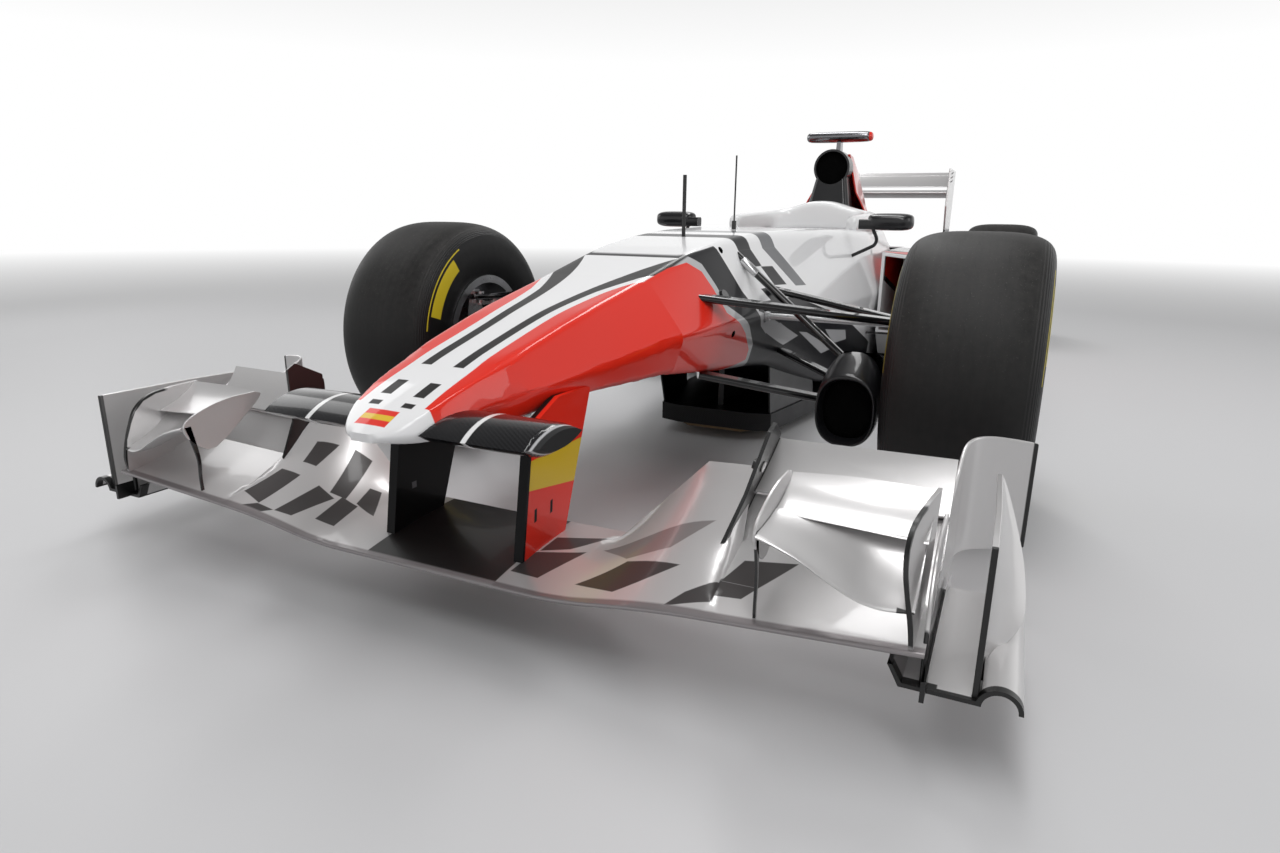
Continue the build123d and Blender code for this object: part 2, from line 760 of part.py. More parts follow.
def tyre(width, rim_width):
    """A slick about its own middle: a flat tread, round shoulders and bulged walls."""
    half = width / 2
    bead = rim_width / 2 - rim_flange_width - touch_gap
    bore = rim_radius + touch_gap
    lip = rim_radius + rim_flange_height + touch_gap
    shoulder = (half - 10, wheel_radius - 32)
    far_shoulder = (10 - half, wheel_radius - 32)
    tread_edge = (half - 42, wheel_radius)
    edges = [
        Line((-bead, bore), (bead, bore)),
        Line((bead, bore), (bead, lip)),
        ThreePointArc((bead, lip), (half, wheel_radius - 85), shoulder),
        ThreePointArc(shoulder, (half - 19, wheel_radius - 10), tread_edge),
        Line(tread_edge, (-half + 42, wheel_radius)),
        ThreePointArc((-half + 42, wheel_radius), (-half + 19, wheel_radius - 10), far_shoulder),
        ThreePointArc(far_shoulder, (-half, wheel_radius - 85), (-bead, lip)),
        Line((-bead, lip), (-bead, bore)),
    ]
    return revolve(Plane.XZ * make_face(Curve(children=edges)), Axis.X, 360)


front_tyre = tyre(front_tyre_width, front_rim_width)
rear_tyre = tyre(rear_tyre_width, rear_rim_width)
corner_table = [
    # name, wheel, tyre, half width, station
    ("front", front_wheel, front_tyre, front_wheel_x, 0),
    ("rear", rear_wheel, rear_tyre, rear_wheel_x, wheelbase),
]
for name, wheel_shape, tyre_shape, x, station in corner_table:
    place = Location((x, station, wheel_radius))
    keep(f"{name}_left_wheel", wheel_shape.moved(place))
    keep(f"{name}_right_wheel", other_side(wheel_shape.moved(place)))
    keep(f"{name}_left_tyre", tyre_shape.moved(place))
    keep(f"{name}_right_tyre", other_side(tyre_shape.moved(place)))

# Driveshafts: a slim shaft between a joint housing at the gearbox and one at the rear axle
shaft_inner_x = 132
shaft_outer_x = rear_upright_inner - 6 - touch_gap
cup_length = 60
cup_radius = 40
driveshaft = ring_x(shaft_inner_x, shaft_outer_x, driveshaft_radius, 0)
driveshaft += ring_x(shaft_inner_x, shaft_inner_x + cup_length, cup_radius, 0)
driveshaft += ring_x(shaft_outer_x - cup_length, shaft_outer_x, cup_radius, 0)
driveshaft = driveshaft.moved(along(wheelbase, wheel_radius))
keep("rear_left_driveshaft", driveshaft)
keep("rear_right_driveshaft", other_side(driveshaft))

# Floor: a low middle with a splitter, stepped sides and a diffuser between the rear wheels
floor_front = 349
diffuser_start = wheelbase - 330
diffuser_end = wheelbase + 350
diffuser_half_width = rear_wheel_x - rear_tyre_width / 2 - 25
middle_plan = [
    (120, floor_front),
    (185, floor_front + 20),
    (neutral_half_width, 760),
    (neutral_half_width, diffuser_start),
    (-neutral_half_width, diffuser_start),
    (-neutral_half_width, 760),
    (-185, floor_front + 20),
    (-120, floor_front),
]
middle_floor = extrude(outline(plan_plane(reference_height), middle_plan), floor_top - reference_height)
side_plan = [
    (neutral_half_width - 10, 1180),
    (480, 1230),
    (700, 1330),
    (700, diffuser_start - 230),
    (diffuser_half_width + 20, diffuser_start - 70),
    (diffuser_half_width, diffuser_start),
    (neutral_half_width - 10, diffuser_start),
]
floor_side = extrude(outline(plan_plane(step_height), side_plan), floor_thick)
hollow_middle = block(
    (-neutral_half_width + 8, neutral_half_width - 8),
    (1190, diffuser_start + 1),
    (reference_height + floor_thick, step_height - 4),
)
diffuser_profile = [
    (diffuser_start, step_height),
    (diffuser_end, 210),
    (diffuser_end, 210 + floor_thick),
    (diffuser_start, step_height + floor_thick),
]
diffuser = extrude(outline(side_plane(-diffuser_half_width), diffuser_profile), 2 * diffuser_half_width)
strake_outline = [
    (diffuser_start, step_height),
    (diffuser_end, 212),
    (diffuser_end, 60),
    (diffuser_start + 120, 45),
]
strake_thick = 5
strake_pitch = (2 * diffuser_half_width - strake_thick) / 5
strakes = [
    extrude(outline(side_plane(-diffuser_half_width + index * strake_pitch), strake_outline), strake_thick)
    for index in range(6)
]
floor = middle_floor + floor_side + other_side(floor_side) + diffuser + strakes - hollow_middle
keep("floor", floor)

# Plank: the flat skid under the middle of the floor
plank_thick = 10
plank_plan = [
    (90, floor_front + 10),
    (150, floor_front + 70),
    (150, diffuser_start),
    (-150, diffuser_start),
    (-150, floor_front + 70),
    (-90, floor_front + 10),
]
plank = extrude(outline(plan_plane(reference_height - plank_thick), plank_plan), plank_thick)
keep("plank", plank)

# Splitter stays and turning vanes between the tub and the floor
vane_low = floor_top + touch_gap
stay_outline = [(420, vane_low), (700, vane_low), (700, 250), (420, 280)]
keel = extrude(outline(side_plane(-9), stay_outline), 18) - monocoque
keel = max(keel.solids(), key=lambda solid: solid.volume)
turning_vane = loft(
    [
        outline(plan_plane(vane_low), [(176, 372), (181, 372), (236, 700), (231, 700)]),
        outline(plan_plane(330), [(182, 300), (187, 300), (232, 640), (227, 640)]),
    ],
    ruled=True,
)
turning_vane = turning_vane - monocoque
turning_vane = max(turning_vane.solids(), key=lambda solid: solid.volume)
keep("turning_vanes", joined(Part(children=[keel]), both_sides(Part(children=[turning_vane]))))

# Bargeboards: curved upright plates beside the tub, standing on the floor
board_arc = [
    ThreePointArc((560, 1000), (470, 1120), (430, 1240)),
    Line((430, 1240), (436, 1242)),
    ThreePointArc((436, 1242), (476, 1123), (566, 1004)),
    Line((566, 1004), (560, 1000)),
]
board = extrude(plan_plane(vane_low) * make_face(Curve(children=board_arc)), 250)
board_stay = block((300, 540), (1190, 1235), (vane_low, vane_low + 6))
board_stay += block((300, 452), (1196, 1214), (250, 256))
board = board + (board_stay - monocoque)
keep("bargeboards", both_sides(board))

# Rear wishbone legs, laid out ahead of the bodywork that they leave through slots
rear_ball_high = 446
rear_ball_low = 214
slot_gap = 4
rear_arm_x = rear_upright_inner + 20
rear_arms_table = [
    # inner end, outer end, width, thickness
    ((100, wheelbase - 240, 390), (rear_arm_x, wheelbase - 18, rear_ball_high - 12), 40, 15),
    ((90, wheelbase + 100, 380), (rear_arm_x, wheelbase + 18, rear_ball_high - 12), 36, 15),
    ((110, wheelbase - 340, 200), (rear_arm_x, wheelbase - 18, rear_ball_low + 6), 44, 15),
    ((70, wheelbase + 160, 236), (rear_arm_x, wheelbase + 18, rear_ball_low + 6), 40, 15),
]
arm_slots = [
    strut(inner, outer, width + 2 * slot_gap, thick + 2 * slot_gap)
    for inner, outer, width, thick in rear_arms_table
]

# Sidepods: thin shells open at the inlet and at the tail
sidepod_base = floor_top + touch_gap
sidepod_table = [
    # station, inner half width, outer half width, foot half width, inner top, outer top, base
    (sidepod_front, 343, 648, 470, 556, 528, 250),
    (1420, 344, 694, 600, 562, 536, sidepod_base),
    (monocoque_back, 336, 696, 640, 560, 520, sidepod_base),
    (2000, 236, 682, 630, 556, 510, sidepod_base),
    (wheelbase - 900, 236, 610, 560, 530, 470, sidepod_base),
    (wheelbase - 500, 214, 440, 400, 470, 392, sidepod_base),
    (diffuser_start, 184, 341, 308, 441, 363, sidepod_base),
    (wheelbase - 140, 150, 230, 205, 408, 330, sidepod_base + 36),
]


def sidepod_section(row, inset):
    station, inner, outer, foot_x, inner_top, outer_top, base = row
    points = [
        (inner + inset, base + inset),
        (foot_x - inset, base + inset),
        (outer - inset, base + (outer_top - base) * 0.45),
        (outer - 16 - inset, outer_top - inset),
        (inner + inset, inner_top - inset),
    ]
    return outline(cross_plane(station), points)


sidepod = loft([sidepod_section(row, 0) for row in sidepod_table], ruled=True)
hollow_sections = [sidepod_section(sidepod_table[0], skin + 6)]
hollow_sections[0] = hollow_sections[0].moved(Location((0, -1, 0)))
hollow_sections += [sidepod_section(row, skin) for row in sidepod_table[1:-1]]
hollow_sections += [sidepod_section(sidepod_table[-1], skin).moved(Location((0, 2, 0)))]
sidepod_hollow = loft(hollow_sections, ruled=True)
sidepod = sidepod - sidepod_hollow - arm_slots
keep("sidepods", both_sides(sidepod))

# Radiators leaning inside the sidepods
radiator = Pos(502, 1660, 300) * Rot(-38, 0, 0) * Box(216, 50, 320)
radiator_foot = sidepod_base + skin + touch_gap
radiator_feet = [block((x, x + 20), (1560, 1760), (radiator_foot, 220)) for x in (420, 560)]
radiator = radiator + radiator_feet
keep("radiators", both_sides(radiator))

# Engine cover: a shell that falls from the airbox to the tail
cover_table = [
    # station, top half width, top height, waist half width, waist height, bottom half width, bottom height
    (1905, 62, 968, 104, 800, 236, 560),
    (2000, 58, 962, 100, 790, 236, 556),
    (wheelbase - 900, 34, 900, 90, 720, 236, 530),
    (wheelbase - 500, 16, 700, 84, 560, 214, 470),
    (wheelbase - 140, 12, 500, 70, 450, 150, 408),
]


def cover_section(row, inset):
    station, top_x, top, waist_x, waist, bottom_x, bottom = row
    corners = [(bottom_x - inset, bottom), (waist_x - inset, waist), (top_x - inset, top - inset)]
    if inset:
        corners = [(bottom_x - inset, bottom - 60)] + corners
    return hull_section(station, corners)


cover = loft([cover_section(row, 0) for row in cover_table], ruled=True)
cover_hollow_sections = [
    cover_section(row, skin + 1).moved(Location((0, shift, 0)))
    for row, shift in zip(cover_table, (-1, 0, 0, 0, 2))
]
cover_hollow = loft(cover_hollow_sections, ruled=True)
cover_slots = arm_slots + [other_side(slot) for slot in arm_slots]
cover = cover - cover_hollow - cover_slots
keep("engine_cover", cover)

# Roll hoop with the air intake in front of the engine cover
hoop_back = 1900
airbox_place = cross_plane(hoop_back) * Pos(0, airbox_height)
intake = extrude(airbox_place * Circle(airbox_radius), hoop_back - airbox_station)
intake_hole = extrude(
    cross_plane(hoop_back - 12) * Pos(0, airbox_height) * Circle(airbox_radius - airbox_wall), 120
)
hoop_neck = loft(
    [
        outline(plan_plane(600), [(120, 1740), (120, hoop_back), (-120, hoop_back), (-120, 1740)], 30),
        outline(
            plan_plane(airbox_height), [(62, 1822), (62, hoop_back), (-62, hoop_back), (-62, 1822)], 20
        ),
    ],
    ruled=True,
)
hoop_struts = [
    strut((x, 1760, 640), (x * 0.6, 1860, 840), 16, 8) for x in (-100, 100)
]
roll_hoop = intake + hoop_neck + hoop_struts - intake_hole - monocoque - headrest
roll_hoop = max(roll_hoop.solids(), key=lambda solid: solid.volume)
keep("roll_hoop_intake", Part(children=[roll_hoop]))

# Camera bar on a stem above the airbox
bar_half = 145
bar_section = [(1905, 1058), (1925, 1072), (1985, 1066), (1990, 1056), (1925, 1048)]
camera_bar = extrude(outline(side_plane(-bar_half), bar_section, 3), bar_half * 2)
camera_stem = loft(
    [
        outline(plan_plane(940), [(12, 1925), (12, 1985), (-12, 1985), (-12, 1925)]),
        outline(plan_plane(1056), [(8, 1932), (8, 1975), (-8, 1975), (-8, 1932)]),
    ],
    ruled=True,
)
camera_bar = camera_bar + camera_stem - cover
camera_bar = max(camera_bar.solids(), key=lambda solid: solid.volume)
keep("camera_bar", Part(children=[camera_bar]))

# Antennas on the chassis top
antenna_rods = [
    post(0, 65, 600, 790, 5),
    post(0, 480, 600, 867, 2.5) + post(0, 480, 600, 672, 7),
]
antennas = [max((piece - tub_outer).solids(), key=lambda solid: solid.volume) for piece in antenna_rods]
keep("antennas", Compound(children=antennas))

# Mirrors on curved stalks
mirror_body = Pos(366, 955, 664) * Box(128, 44, 34)
mirror_body = fillet(mirror_body.edges().filter_by(Axis.X), 10)
mirror_face = Pos(366, 978, 664) * Box(116, 8, 26)
mirror_stalk = FilletPolyline((345, 958, 655), (372, 965, 600), (258, 993, 544), radius=28)
stalk_place = Plane(origin=mirror_stalk @ 0, z_dir=mirror_stalk % 0)
mirror_stalk = sweep(stalk_place * Circle(6), mirror_stalk)
mirror_piece = mirror_body - mirror_face + mirror_stalk - tub_outer
mirror_piece = max(mirror_piece.solids(), key=lambda solid: solid.volume)
keep("mirrors", both_sides(Part(children=[mirror_piece])))

# Engine: one plain block
engine_top = 440
engine_front = monocoque_back + touch_gap
engine_back = wheelbase - 660
engine = block((-190, 190), (engine_front, engine_back), (reference_height + 60, engine_top))
keep("engine", engine)

# Gearbox with the tail structure behind it
tail_bulkhead = wheelbase + 420
gearbox_table = [
    # station, half width, low, high
    (engine_back + touch_gap, 150, 110, 420),
    (wheelbase - 300, 120, 130, 410),
    (wheelbase + 60, 96, 200, 396),
    (tail_bulkhead, 44, 306, 372),
]
gearbox = loft(
    [
        outline(cross_plane(s), [(-x, low), (x, low), (x, high), (-x, high)], 14)
        for s, x, low, high in gearbox_table
    ],
    ruled=True,
)
flange_half = shaft_inner_x - touch_gap
drive_flange = ring_x(-flange_half, flange_half, 60, 0).moved(along(wheelbase, wheel_radius))
jack_bar_radius = 10
jack_bar_half = 110
jack_bar_ends = [(side * jack_bar_half, tail_bulkhead - 30, 318) for side in (-1, 1)]
jack_bar = rod(*jack_bar_ends, jack_bar_radius)
gearbox = gearbox + drive_flange + jack_bar - floor
gearbox = max(gearbox.solids(), key=lambda solid: solid.volume)
gearbox = Part(children=[gearbox])
keep("gearbox", gearbox)

# Exhaust pipes that rise from the engine and end over the gearbox
exhaust_path = FilletPolyline(
    (120, engine_back - 90, engine_top + touch_gap),
    (120, engine_back - 90, engine_top + 40),
    (112, wheelbase - 500, engine_top + 30),
    (38, wheelbase - 90, engine_top - 13),
    radius=36,
)
exhaust_place = Plane(origin=exhaust_path @ 0, z_dir=exhaust_path % 0)
exhaust_radius = 20
exhaust_wall = 3
exhaust_ring = Circle(exhaust_radius) - Circle(exhaust_radius - exhaust_wall)
exhaust = sweep(exhaust_place * exhaust_ring, exhaust_path)
keep("exhausts", both_sides(exhaust))

# Rear uprights
rear_upright_outline = [
    (-40, rear_ball_low - 14),
    (40, rear_ball_low - 14),
    (56, wheel_radius),
    (40, rear_ball_high + 8),
    (-40, rear_ball_high + 8),
    (-56, wheel_radius),
]
rear_upright = extrude(
    outline(side_plane(rear_upright_inner), rear_upright_outline, 8),
    rear_upright_outer - rear_upright_inner,
)
rear_upright += block((rear_upright_inner - 24, rear_upright_inner + 20), (-120, -45), (250, 400))
rear_upright -= block((rear_upright_inner - 30, rear_upright_inner + 16), (-125, -60), (256, 394))
rear_bore = ring_x(rear_upright_inner - 50, half_width, axle_radius + pin_clearance, 0)
rear_bore += ring_x(rear_upright_inner - 50, rear_upright_inner + 1, cup_radius + 6, 0)
rear_upright -= rear_bore.moved(along(0, wheel_radius))
rear_upright = rear_upright.moved(Location((0, wheelbase, 0)))
keep("rear_uprights", both_sides(rear_upright))

# Rear wishbones and pushrods
rear_arms = [strut(inner, outer, width, thick) for inner, outer, width, thick in rear_arms_table]
upper_rear = rear_arms[0] + rear_arms[1] - gearbox - rear_upright - floor
lower_rear = rear_arms[2] + rear_arms[3] - gearbox - rear_upright - floor
rear_pieces = []
for pair_of_legs in (upper_rear, lower_rear):
    rear_pieces += [solid for solid in pair_of_legs.solids() if solid.volume > 50000]
keep("rear_suspension_arms", both_sides(Part(children=rear_pieces)))

# Rear wing: end plates, main plane, hinged flap and beam wing
plate_inner = rear_wing_half_width - rear_plate_thickness
rear_plate_outline = [
    (tail_end - 420, 300),
    (tail_end - 240, 216),
    (tail_end - 100, 240),
    (tail_end - 40, 520),
    (tail_end, 760),
    (tail_end, rear_wing_top),
    (tail_end - 360, rear_wing_top),
    (tail_end - 400, 760),
    (tail_end - 330, 560),
]
louvre_front = tail_end - 330
louvre_back = tail_end - 160
rear_plate = extrude(outline(side_plane(plate_inner), rear_plate_outline, 12), rear_plate_thickness)
louvres = [
    extrude(
        outline(
            side_plane(plate_inner - 5),
            [(louvre_front, z), (louvre_back, z + 18), (louvre_back, z + 28), (louvre_front, z + 10)],
        ),
        rear_plate_thickness + 10,
    )
    for z in (900, 924, 948)
]
flap_pivot = along(flap_pivot_station, flap_pivot_height)
pivot_hole = ring_x(300, 400, flap_pin_radius + pin_clearance, 0).moved(flap_pivot)
rear_plate = rear_plate - louvres - pivot_hole
keep("rear_wing_endplates", both_sides(rear_plate))

rear_main = loft(
    [
        wing_section(x, (tail_end - 354, 842), (tail_end - 148, 862), 26, 26, edge=5)
        for x in (-plate_inner, plate_inner)
    ],
    ruled=True,
)
keep("rear_wing_main_plane", rear_main)

flap_half = plate_inner - working_gap
rear_flap = loft(
    [
        wing_section(x, (tail_end - 158, 884), (tail_end - 8, 978), 16, 14, edge=3)
        for x in (-flap_half, flap_half)
    ],
    ruled=True,
)
rear_flap += ring_x(-plate_inner - 8, plate_inner + 8, flap_pin_radius, 0).moved(flap_pivot)
rear_flap += [
    ring_x(low, low + 12, flap_pin_radius + 4, 0).moved(flap_pivot)
    for low in (-flap_half, flap_half - 12)
]
keep("rear_wing_flap", rear_flap)

beam = loft(
    [
        wing_section(x, (tail_end - 370, 372), (tail_end - 190, 430), 22, 14)
        for x in (-plate_inner, plate_inner)
    ],
    ruled=True,
)
beam = beam - gearbox
beam_wing = max(beam.solids(), key=lambda solid: solid.volume)
keep("rear_beam_wing", Part(children=[beam_wing]))

# Rain light at the end of the tail structure
rain_light = block((-36, 36), (tail_bulkhead, tail_bulkhead + 20), (306, 372))
keep("rain_light", rain_light)
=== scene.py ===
import json
import math

import bmesh
import bpy
from mathutils import Matrix, Vector
from mathutils.bvhtree import BVHTree

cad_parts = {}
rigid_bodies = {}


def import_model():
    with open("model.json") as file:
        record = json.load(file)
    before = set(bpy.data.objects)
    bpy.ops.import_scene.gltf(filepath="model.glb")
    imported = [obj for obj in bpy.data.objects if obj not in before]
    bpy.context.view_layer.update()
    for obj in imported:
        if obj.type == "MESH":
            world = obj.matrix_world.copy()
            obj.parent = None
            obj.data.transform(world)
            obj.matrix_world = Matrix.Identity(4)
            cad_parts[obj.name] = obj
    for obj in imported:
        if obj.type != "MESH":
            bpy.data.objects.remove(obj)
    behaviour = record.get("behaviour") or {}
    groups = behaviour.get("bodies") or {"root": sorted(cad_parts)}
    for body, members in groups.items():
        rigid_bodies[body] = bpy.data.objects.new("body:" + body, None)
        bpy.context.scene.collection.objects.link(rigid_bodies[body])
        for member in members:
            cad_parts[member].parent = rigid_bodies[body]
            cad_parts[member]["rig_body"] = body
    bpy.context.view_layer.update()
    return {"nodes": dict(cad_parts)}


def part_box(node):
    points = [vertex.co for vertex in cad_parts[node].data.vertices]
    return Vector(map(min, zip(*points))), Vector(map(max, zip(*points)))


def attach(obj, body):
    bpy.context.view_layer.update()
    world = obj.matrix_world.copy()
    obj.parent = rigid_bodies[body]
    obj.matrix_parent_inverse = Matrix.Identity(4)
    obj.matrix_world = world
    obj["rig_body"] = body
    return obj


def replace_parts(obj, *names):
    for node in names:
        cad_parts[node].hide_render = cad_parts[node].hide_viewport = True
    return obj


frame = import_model()

# Survival cell. A hollow shell of carbon cloth, laid up in moulds and cured, with flat flanks,
# an open cockpit and the front suspension bolted to it. It is filled, painted and lacquered.
front_tyre_low, front_tyre_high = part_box("front_left_tyre")
front_axle = (front_tyre_low.y + front_tyre_high.y) / 2
mm = 0.001

white = (0.80, 0.80, 0.80, 1)
pale_grey = (0.46, 0.46, 0.47, 1)
mid_grey = (0.105, 0.108, 0.116, 1)
charcoal = (0.014, 0.014, 0.016, 1)
stripe_grey = (0.018, 0.017, 0.017, 1)
racing_red = (0.76, 0.022, 0.008, 1)
band_yellow = (0.75, 0.50, 0.02, 1)
black = (0.004, 0.004, 0.0045, 1)


class Wire:
    """A shader socket that takes part in sums, products and masks, each adding its own node."""

    def __init__(self, tree, socket):
        self.tree = tree
        self.socket = socket

    def node(self, kind, settings=None, inputs=None, output=0):
        made = self.tree.nodes.new(kind)
        for name, value in (settings or {}).items():
            setattr(made, name, value)
        for name, value in (inputs or {}).items():
            if isinstance(value, Wire):
                self.tree.links.new(value.socket, made.inputs[name])
            else:
                made.inputs[name].default_value = value
        return Wire(self.tree, made.outputs[output]) if made.outputs else None

    def maths(self, operation, *values, clamp=False):
        settings = {"operation": operation, "use_clamp": clamp}
        return self.node("ShaderNodeMath", settings, dict(enumerate(values)))

    def of(self, operation, *values):
        """This value put through one step of maths."""
        return self.maths(operation, self, *values)

    def __add__(self, other):
        return self.of("ADD", other)

    __radd__ = __add__

    def __sub__(self, other):
        return self.of("SUBTRACT", other)

    def __rsub__(self, other):
        return self.maths("SUBTRACT", other, self)

    def __mul__(self, other):
        return self.of("MULTIPLY", other)

    __rmul__ = __mul__

    def __truediv__(self, other):
        return self.of("DIVIDE", other)

    def __and__(self, other):
        return self.of("MINIMUM", other)

    def __or__(self, other):
        return self.of("MAXIMUM", other)

    def __invert__(self):
        return 1 - self

    def __abs__(self):
        return self.of("ABSOLUTE")

    def past(self, edge, blur=0.0015):
        """1 where the value is past an edge and 0 before it, with a soft line between them."""
        return self.maths("MULTIPLY_ADD", self - edge, 1 / blur, 0.5, clamp=True)

    def between(self, low, high, blur=0.0015):
        return self.past(low, blur) & ~self.past(high, blur)

    def over(self, under, colour):
        """The under colour, covered by the other one where this mask is 1."""
        return self.node("ShaderNodeMix", {"data_type": "RGBA"}, {0: self, 6: under, 7: colour}, 2)

    def parts(self):
        return [self.node("ShaderNodeSeparateXYZ", None, {0: self}, axis) for axis in range(3)]

    def spot(self, other):
        """A flat position whose third part is 1, which the outlines below are measured from."""
        return self.node("ShaderNodeCombineXYZ", None, {0: self, 1: other, 2: 1.0})

    def noise(self, scale, detail=2.0, roughness=0.5):
        inputs = {"Vector": self, "Scale": scale, "Detail": detail, "Roughness": roughness}
        return self.node("ShaderNodeTexNoise", None, inputs)

    def stretched(self, x, y, z):
        factors = {0: self, 1: (x, y, z)}
        return self.node("ShaderNodeVectorMath", {"operation": "MULTIPLY"}, factors)

    def bump(self, strength, distance):
        inputs = {"Height": self, "Strength": strength, "Distance": distance}
        return self.node("ShaderNodeBump", None, inputs)

    def inside(self, corners):
        """How deep a flat position lies in a convex outline, in metres. The corners are in mm."""
        turn = sum(a[0] * b[1] - a[1] * b[0] for a, b in zip(corners, corners[1:] + corners[:1]))
        ring = corners if turn > 0 else corners[::-1]
        depth = None
        for (u1, v1), (u2, v2) in zip(ring, ring[1:] + ring[:1]):
            length = math.hypot(u2 - u1, v2 - v1)
            across, along = (v1 - v2) / length, (u2 - u1) / length
            line = (across, along, -(across * u1 + along * v1) * mm)
            settings = {"operation": "DOT_PRODUCT"}
            edge = self.node("ShaderNodeVectorMath", settings, {0: self, 1: line}, 1)
            depth = edge if depth is None else depth & edge
        return depth

    def inside_any(self, outlines):
        """How deep a flat position lies in whichever of some outlines holds it best."""
        deepest = self.inside(outlines[0])
        for corners in outlines[1:]:
            deepest = deepest | self.inside(corners)
        return deepest


def surface(name, sockets, paint=None):
    """A principled finish. The paint function gives the sockets that change over the surface."""
    made = bpy.data.materials.new(name)
    made.use_nodes = True
    tree = made.node_tree
    tree.nodes.clear()
    place = Wire(tree, tree.nodes.new("ShaderNodeTexCoord").outputs["Object"])
    changing = paint(place) if paint else {}
    shader = place.node("ShaderNodeBsdfPrincipled", None, {**sockets, **changing})
    place.node("ShaderNodeOutputMaterial", None, {"Surface": shader})
    return made


def lacquer(colour, full=0.75):
    """How much clear coat lies on a colour: dull dark vinyl takes far less than light paint."""
    light = colour.node("ShaderNodeRGBToBW", None, {0: colour})
    return light.maths("MULTIPLY_ADD", light, 6.0, 0.12, clamp=True) * full


def blended_normals(mesh, rounds, crease):
    """One shading direction for each face corner, averaged over the faces round about."""
    mesh.normal_update()
    mesh.faces.index_update()
    joined = {edge for edge in mesh.edges
              if len(edge.link_faces) == 2 and edge.calc_face_angle(0) < math.radians(crease)}
    beside = [[] for _ in mesh.faces]
    for edge in mesh.edges:
        if edge in joined:
            one, two = (face.index for face in edge.link_faces)
            beside[one].append(two)
            beside[two].append(one)
    ways = [face.normal * face.calc_area() for face in mesh.faces]
    for _ in range(rounds):
        ways = [sum((ways[other] for other in near), way) / (len(near) + 1)
                for way, near in zip(ways, beside)]
    corners = {}
    for vert in mesh.verts:
        left = list(vert.link_faces)
        while left:
            fan = [left.pop(0)]
            for face in fan:
                bridges = [edge for edge in face.edges if edge in joined and vert in edge.verts]
                for other in [other for edge in bridges for other in edge.link_faces]:
                    if other in left:
                        left.remove(other)
                        fan.append(other)
            way = sum((ways[face.index] for face in fan), Vector()).normalized()
            for face in fan:
                corners[face, vert] = way
    return [corners[face, loop.vert] for face in mesh.faces for loop in face.loops]


def piece(name, mesh, look, body="root", crease=35, weighted=True, blend=0):
    """Turns a bmesh into an object with smooth faces, hard creases and one finish."""
    normals = blended_normals(mesh, blend, crease) if blend else None
    for face in mesh.faces:
        face.smooth = True
    for edge in mesh.edges:
        edge.smooth = len(edge.link_faces) == 2 and edge.calc_face_angle(0) < math.radians(crease)
    data = bpy.data.meshes.new(name)
    mesh.to_mesh(data)
    mesh.free()
    if normals:
        data.normals_split_custom_set(normals)
    data.materials.append(look)
    made = bpy.data.objects.new(name, data)
    bpy.context.scene.collection.objects.link(made)
    if weighted:
        made.modifiers.new("face_weighted_normals", "WEIGHTED_NORMAL").keep_sharp = True
    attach(made, body)
    return made


def soften(mesh, longest, rounds, crease=40):
    """Splits edges over a length in mm, then eases each point that no sharp edge holds."""
    for _ in range(9):
        split = [edge for edge in mesh.edges if edge.calc_length() > longest * mm]
        if not split:
            break
        bmesh.ops.subdivide_edges(mesh, edges=split, cuts=1)
        bmesh.ops.triangulate(mesh, faces=mesh.faces)
    flat = [edge for edge in mesh.edges if len(edge.link_faces) == 2 and edge.calc_face_angle(0) < 0.1]
    bmesh.ops.beautify_fill(mesh, faces=mesh.faces, edges=flat)
    held = {vert for edge in mesh.edges for vert in edge.verts
            if len(edge.link_faces) != 2 or edge.calc_face_angle(0) > math.radians(crease)}
    free = [vert for vert in mesh.verts if vert not in held]
    for _ in range(rounds):
        bmesh.ops.smooth_vert(mesh, verts=free, factor=0.5, use_axis_x=True, use_axis_y=True,
                              use_axis_z=True)


shapes = {}


def skin(node, look, crease=35, trim=None, filled=None, blend=0):
    """A merged copy of a solid's skin, trimmed or filled and sanded, that takes its place."""
    source = frame["nodes"][node]
    mesh = bmesh.new()
    mesh.from_mesh(source.data)
    bmesh.ops.remove_doubles(mesh, verts=mesh.verts, dist=0.02 * mm)
    if trim:
        trim(mesh)
    if filled:
        soften(mesh, *filled)
    shapes[node] = BVHTree.FromBMesh(mesh)
    made = piece(node + "_skin", mesh, look, source["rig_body"], crease, not filled, blend)
    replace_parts(made, node)


# Outlines on the flank in mm: station behind the front axle, height
red_flank = [(-1090, 300), (-180, 300), (-180, 470), (-190, 520), (-205, 560), (-250, 582),
             (-330, 573), (-430, 554), (-920, 451), (-1090, 398)]
red_tongue = [(-400, 300), (10, 322), (8, 350), (-60, 402), (-190, 470), (-400, 475)]
charcoal_band = [[(-262, 594), (-80, 614), (-34, 500), (-200, 500)],
                 [(-215, 502), (-34, 502), (55, 400), (-80, 360)],
                 [(-40, 420), (60, 402), (150, 335), (40, 300), (-20, 320)]]
flank_chequers = [[(42, 600), (40, 652), (128, 656), (122, 600)],
                  [(42, 601), (122, 601), (158, 556), (82, 556)],
                  [(150, 555), (235, 552), (300, 498), (205, 502)],
                  [(95, 500), (205, 500), (260, 455), (150, 458)]]
grey_flank = [[(205, 600), (205, 660), (288, 660), (296, 600)],
              [(205, 601), (296, 601), (455, 486), (368, 490)]]
# Under the arms the flank is charcoal with pale grey flag bands, painted darker for the shade that the arms
# cast
lower_dark_and_shade = [(30, 470), (330, 462), (900, 330), (1300, 200), (1300, 60), (0, 60), (-20, 330)]
pale_bands_in_painted_shade = [[(-10, 460), (70, 437), (215, 398), (110, 380), (20, 420)],
                [(110, 382), (216, 398), (400, 338), (300, 322)],
                [(400, 350), (470, 340), (760, 250), (660, 246)],
                [(640, 330), (880, 300), (920, 262), (760, 268)]]
underside = [(-1200, 100), (-1200, 349), (-430, 354), (-170, 324), (30, 304), (260, 274), (760, 130),
             (2000, 100)]


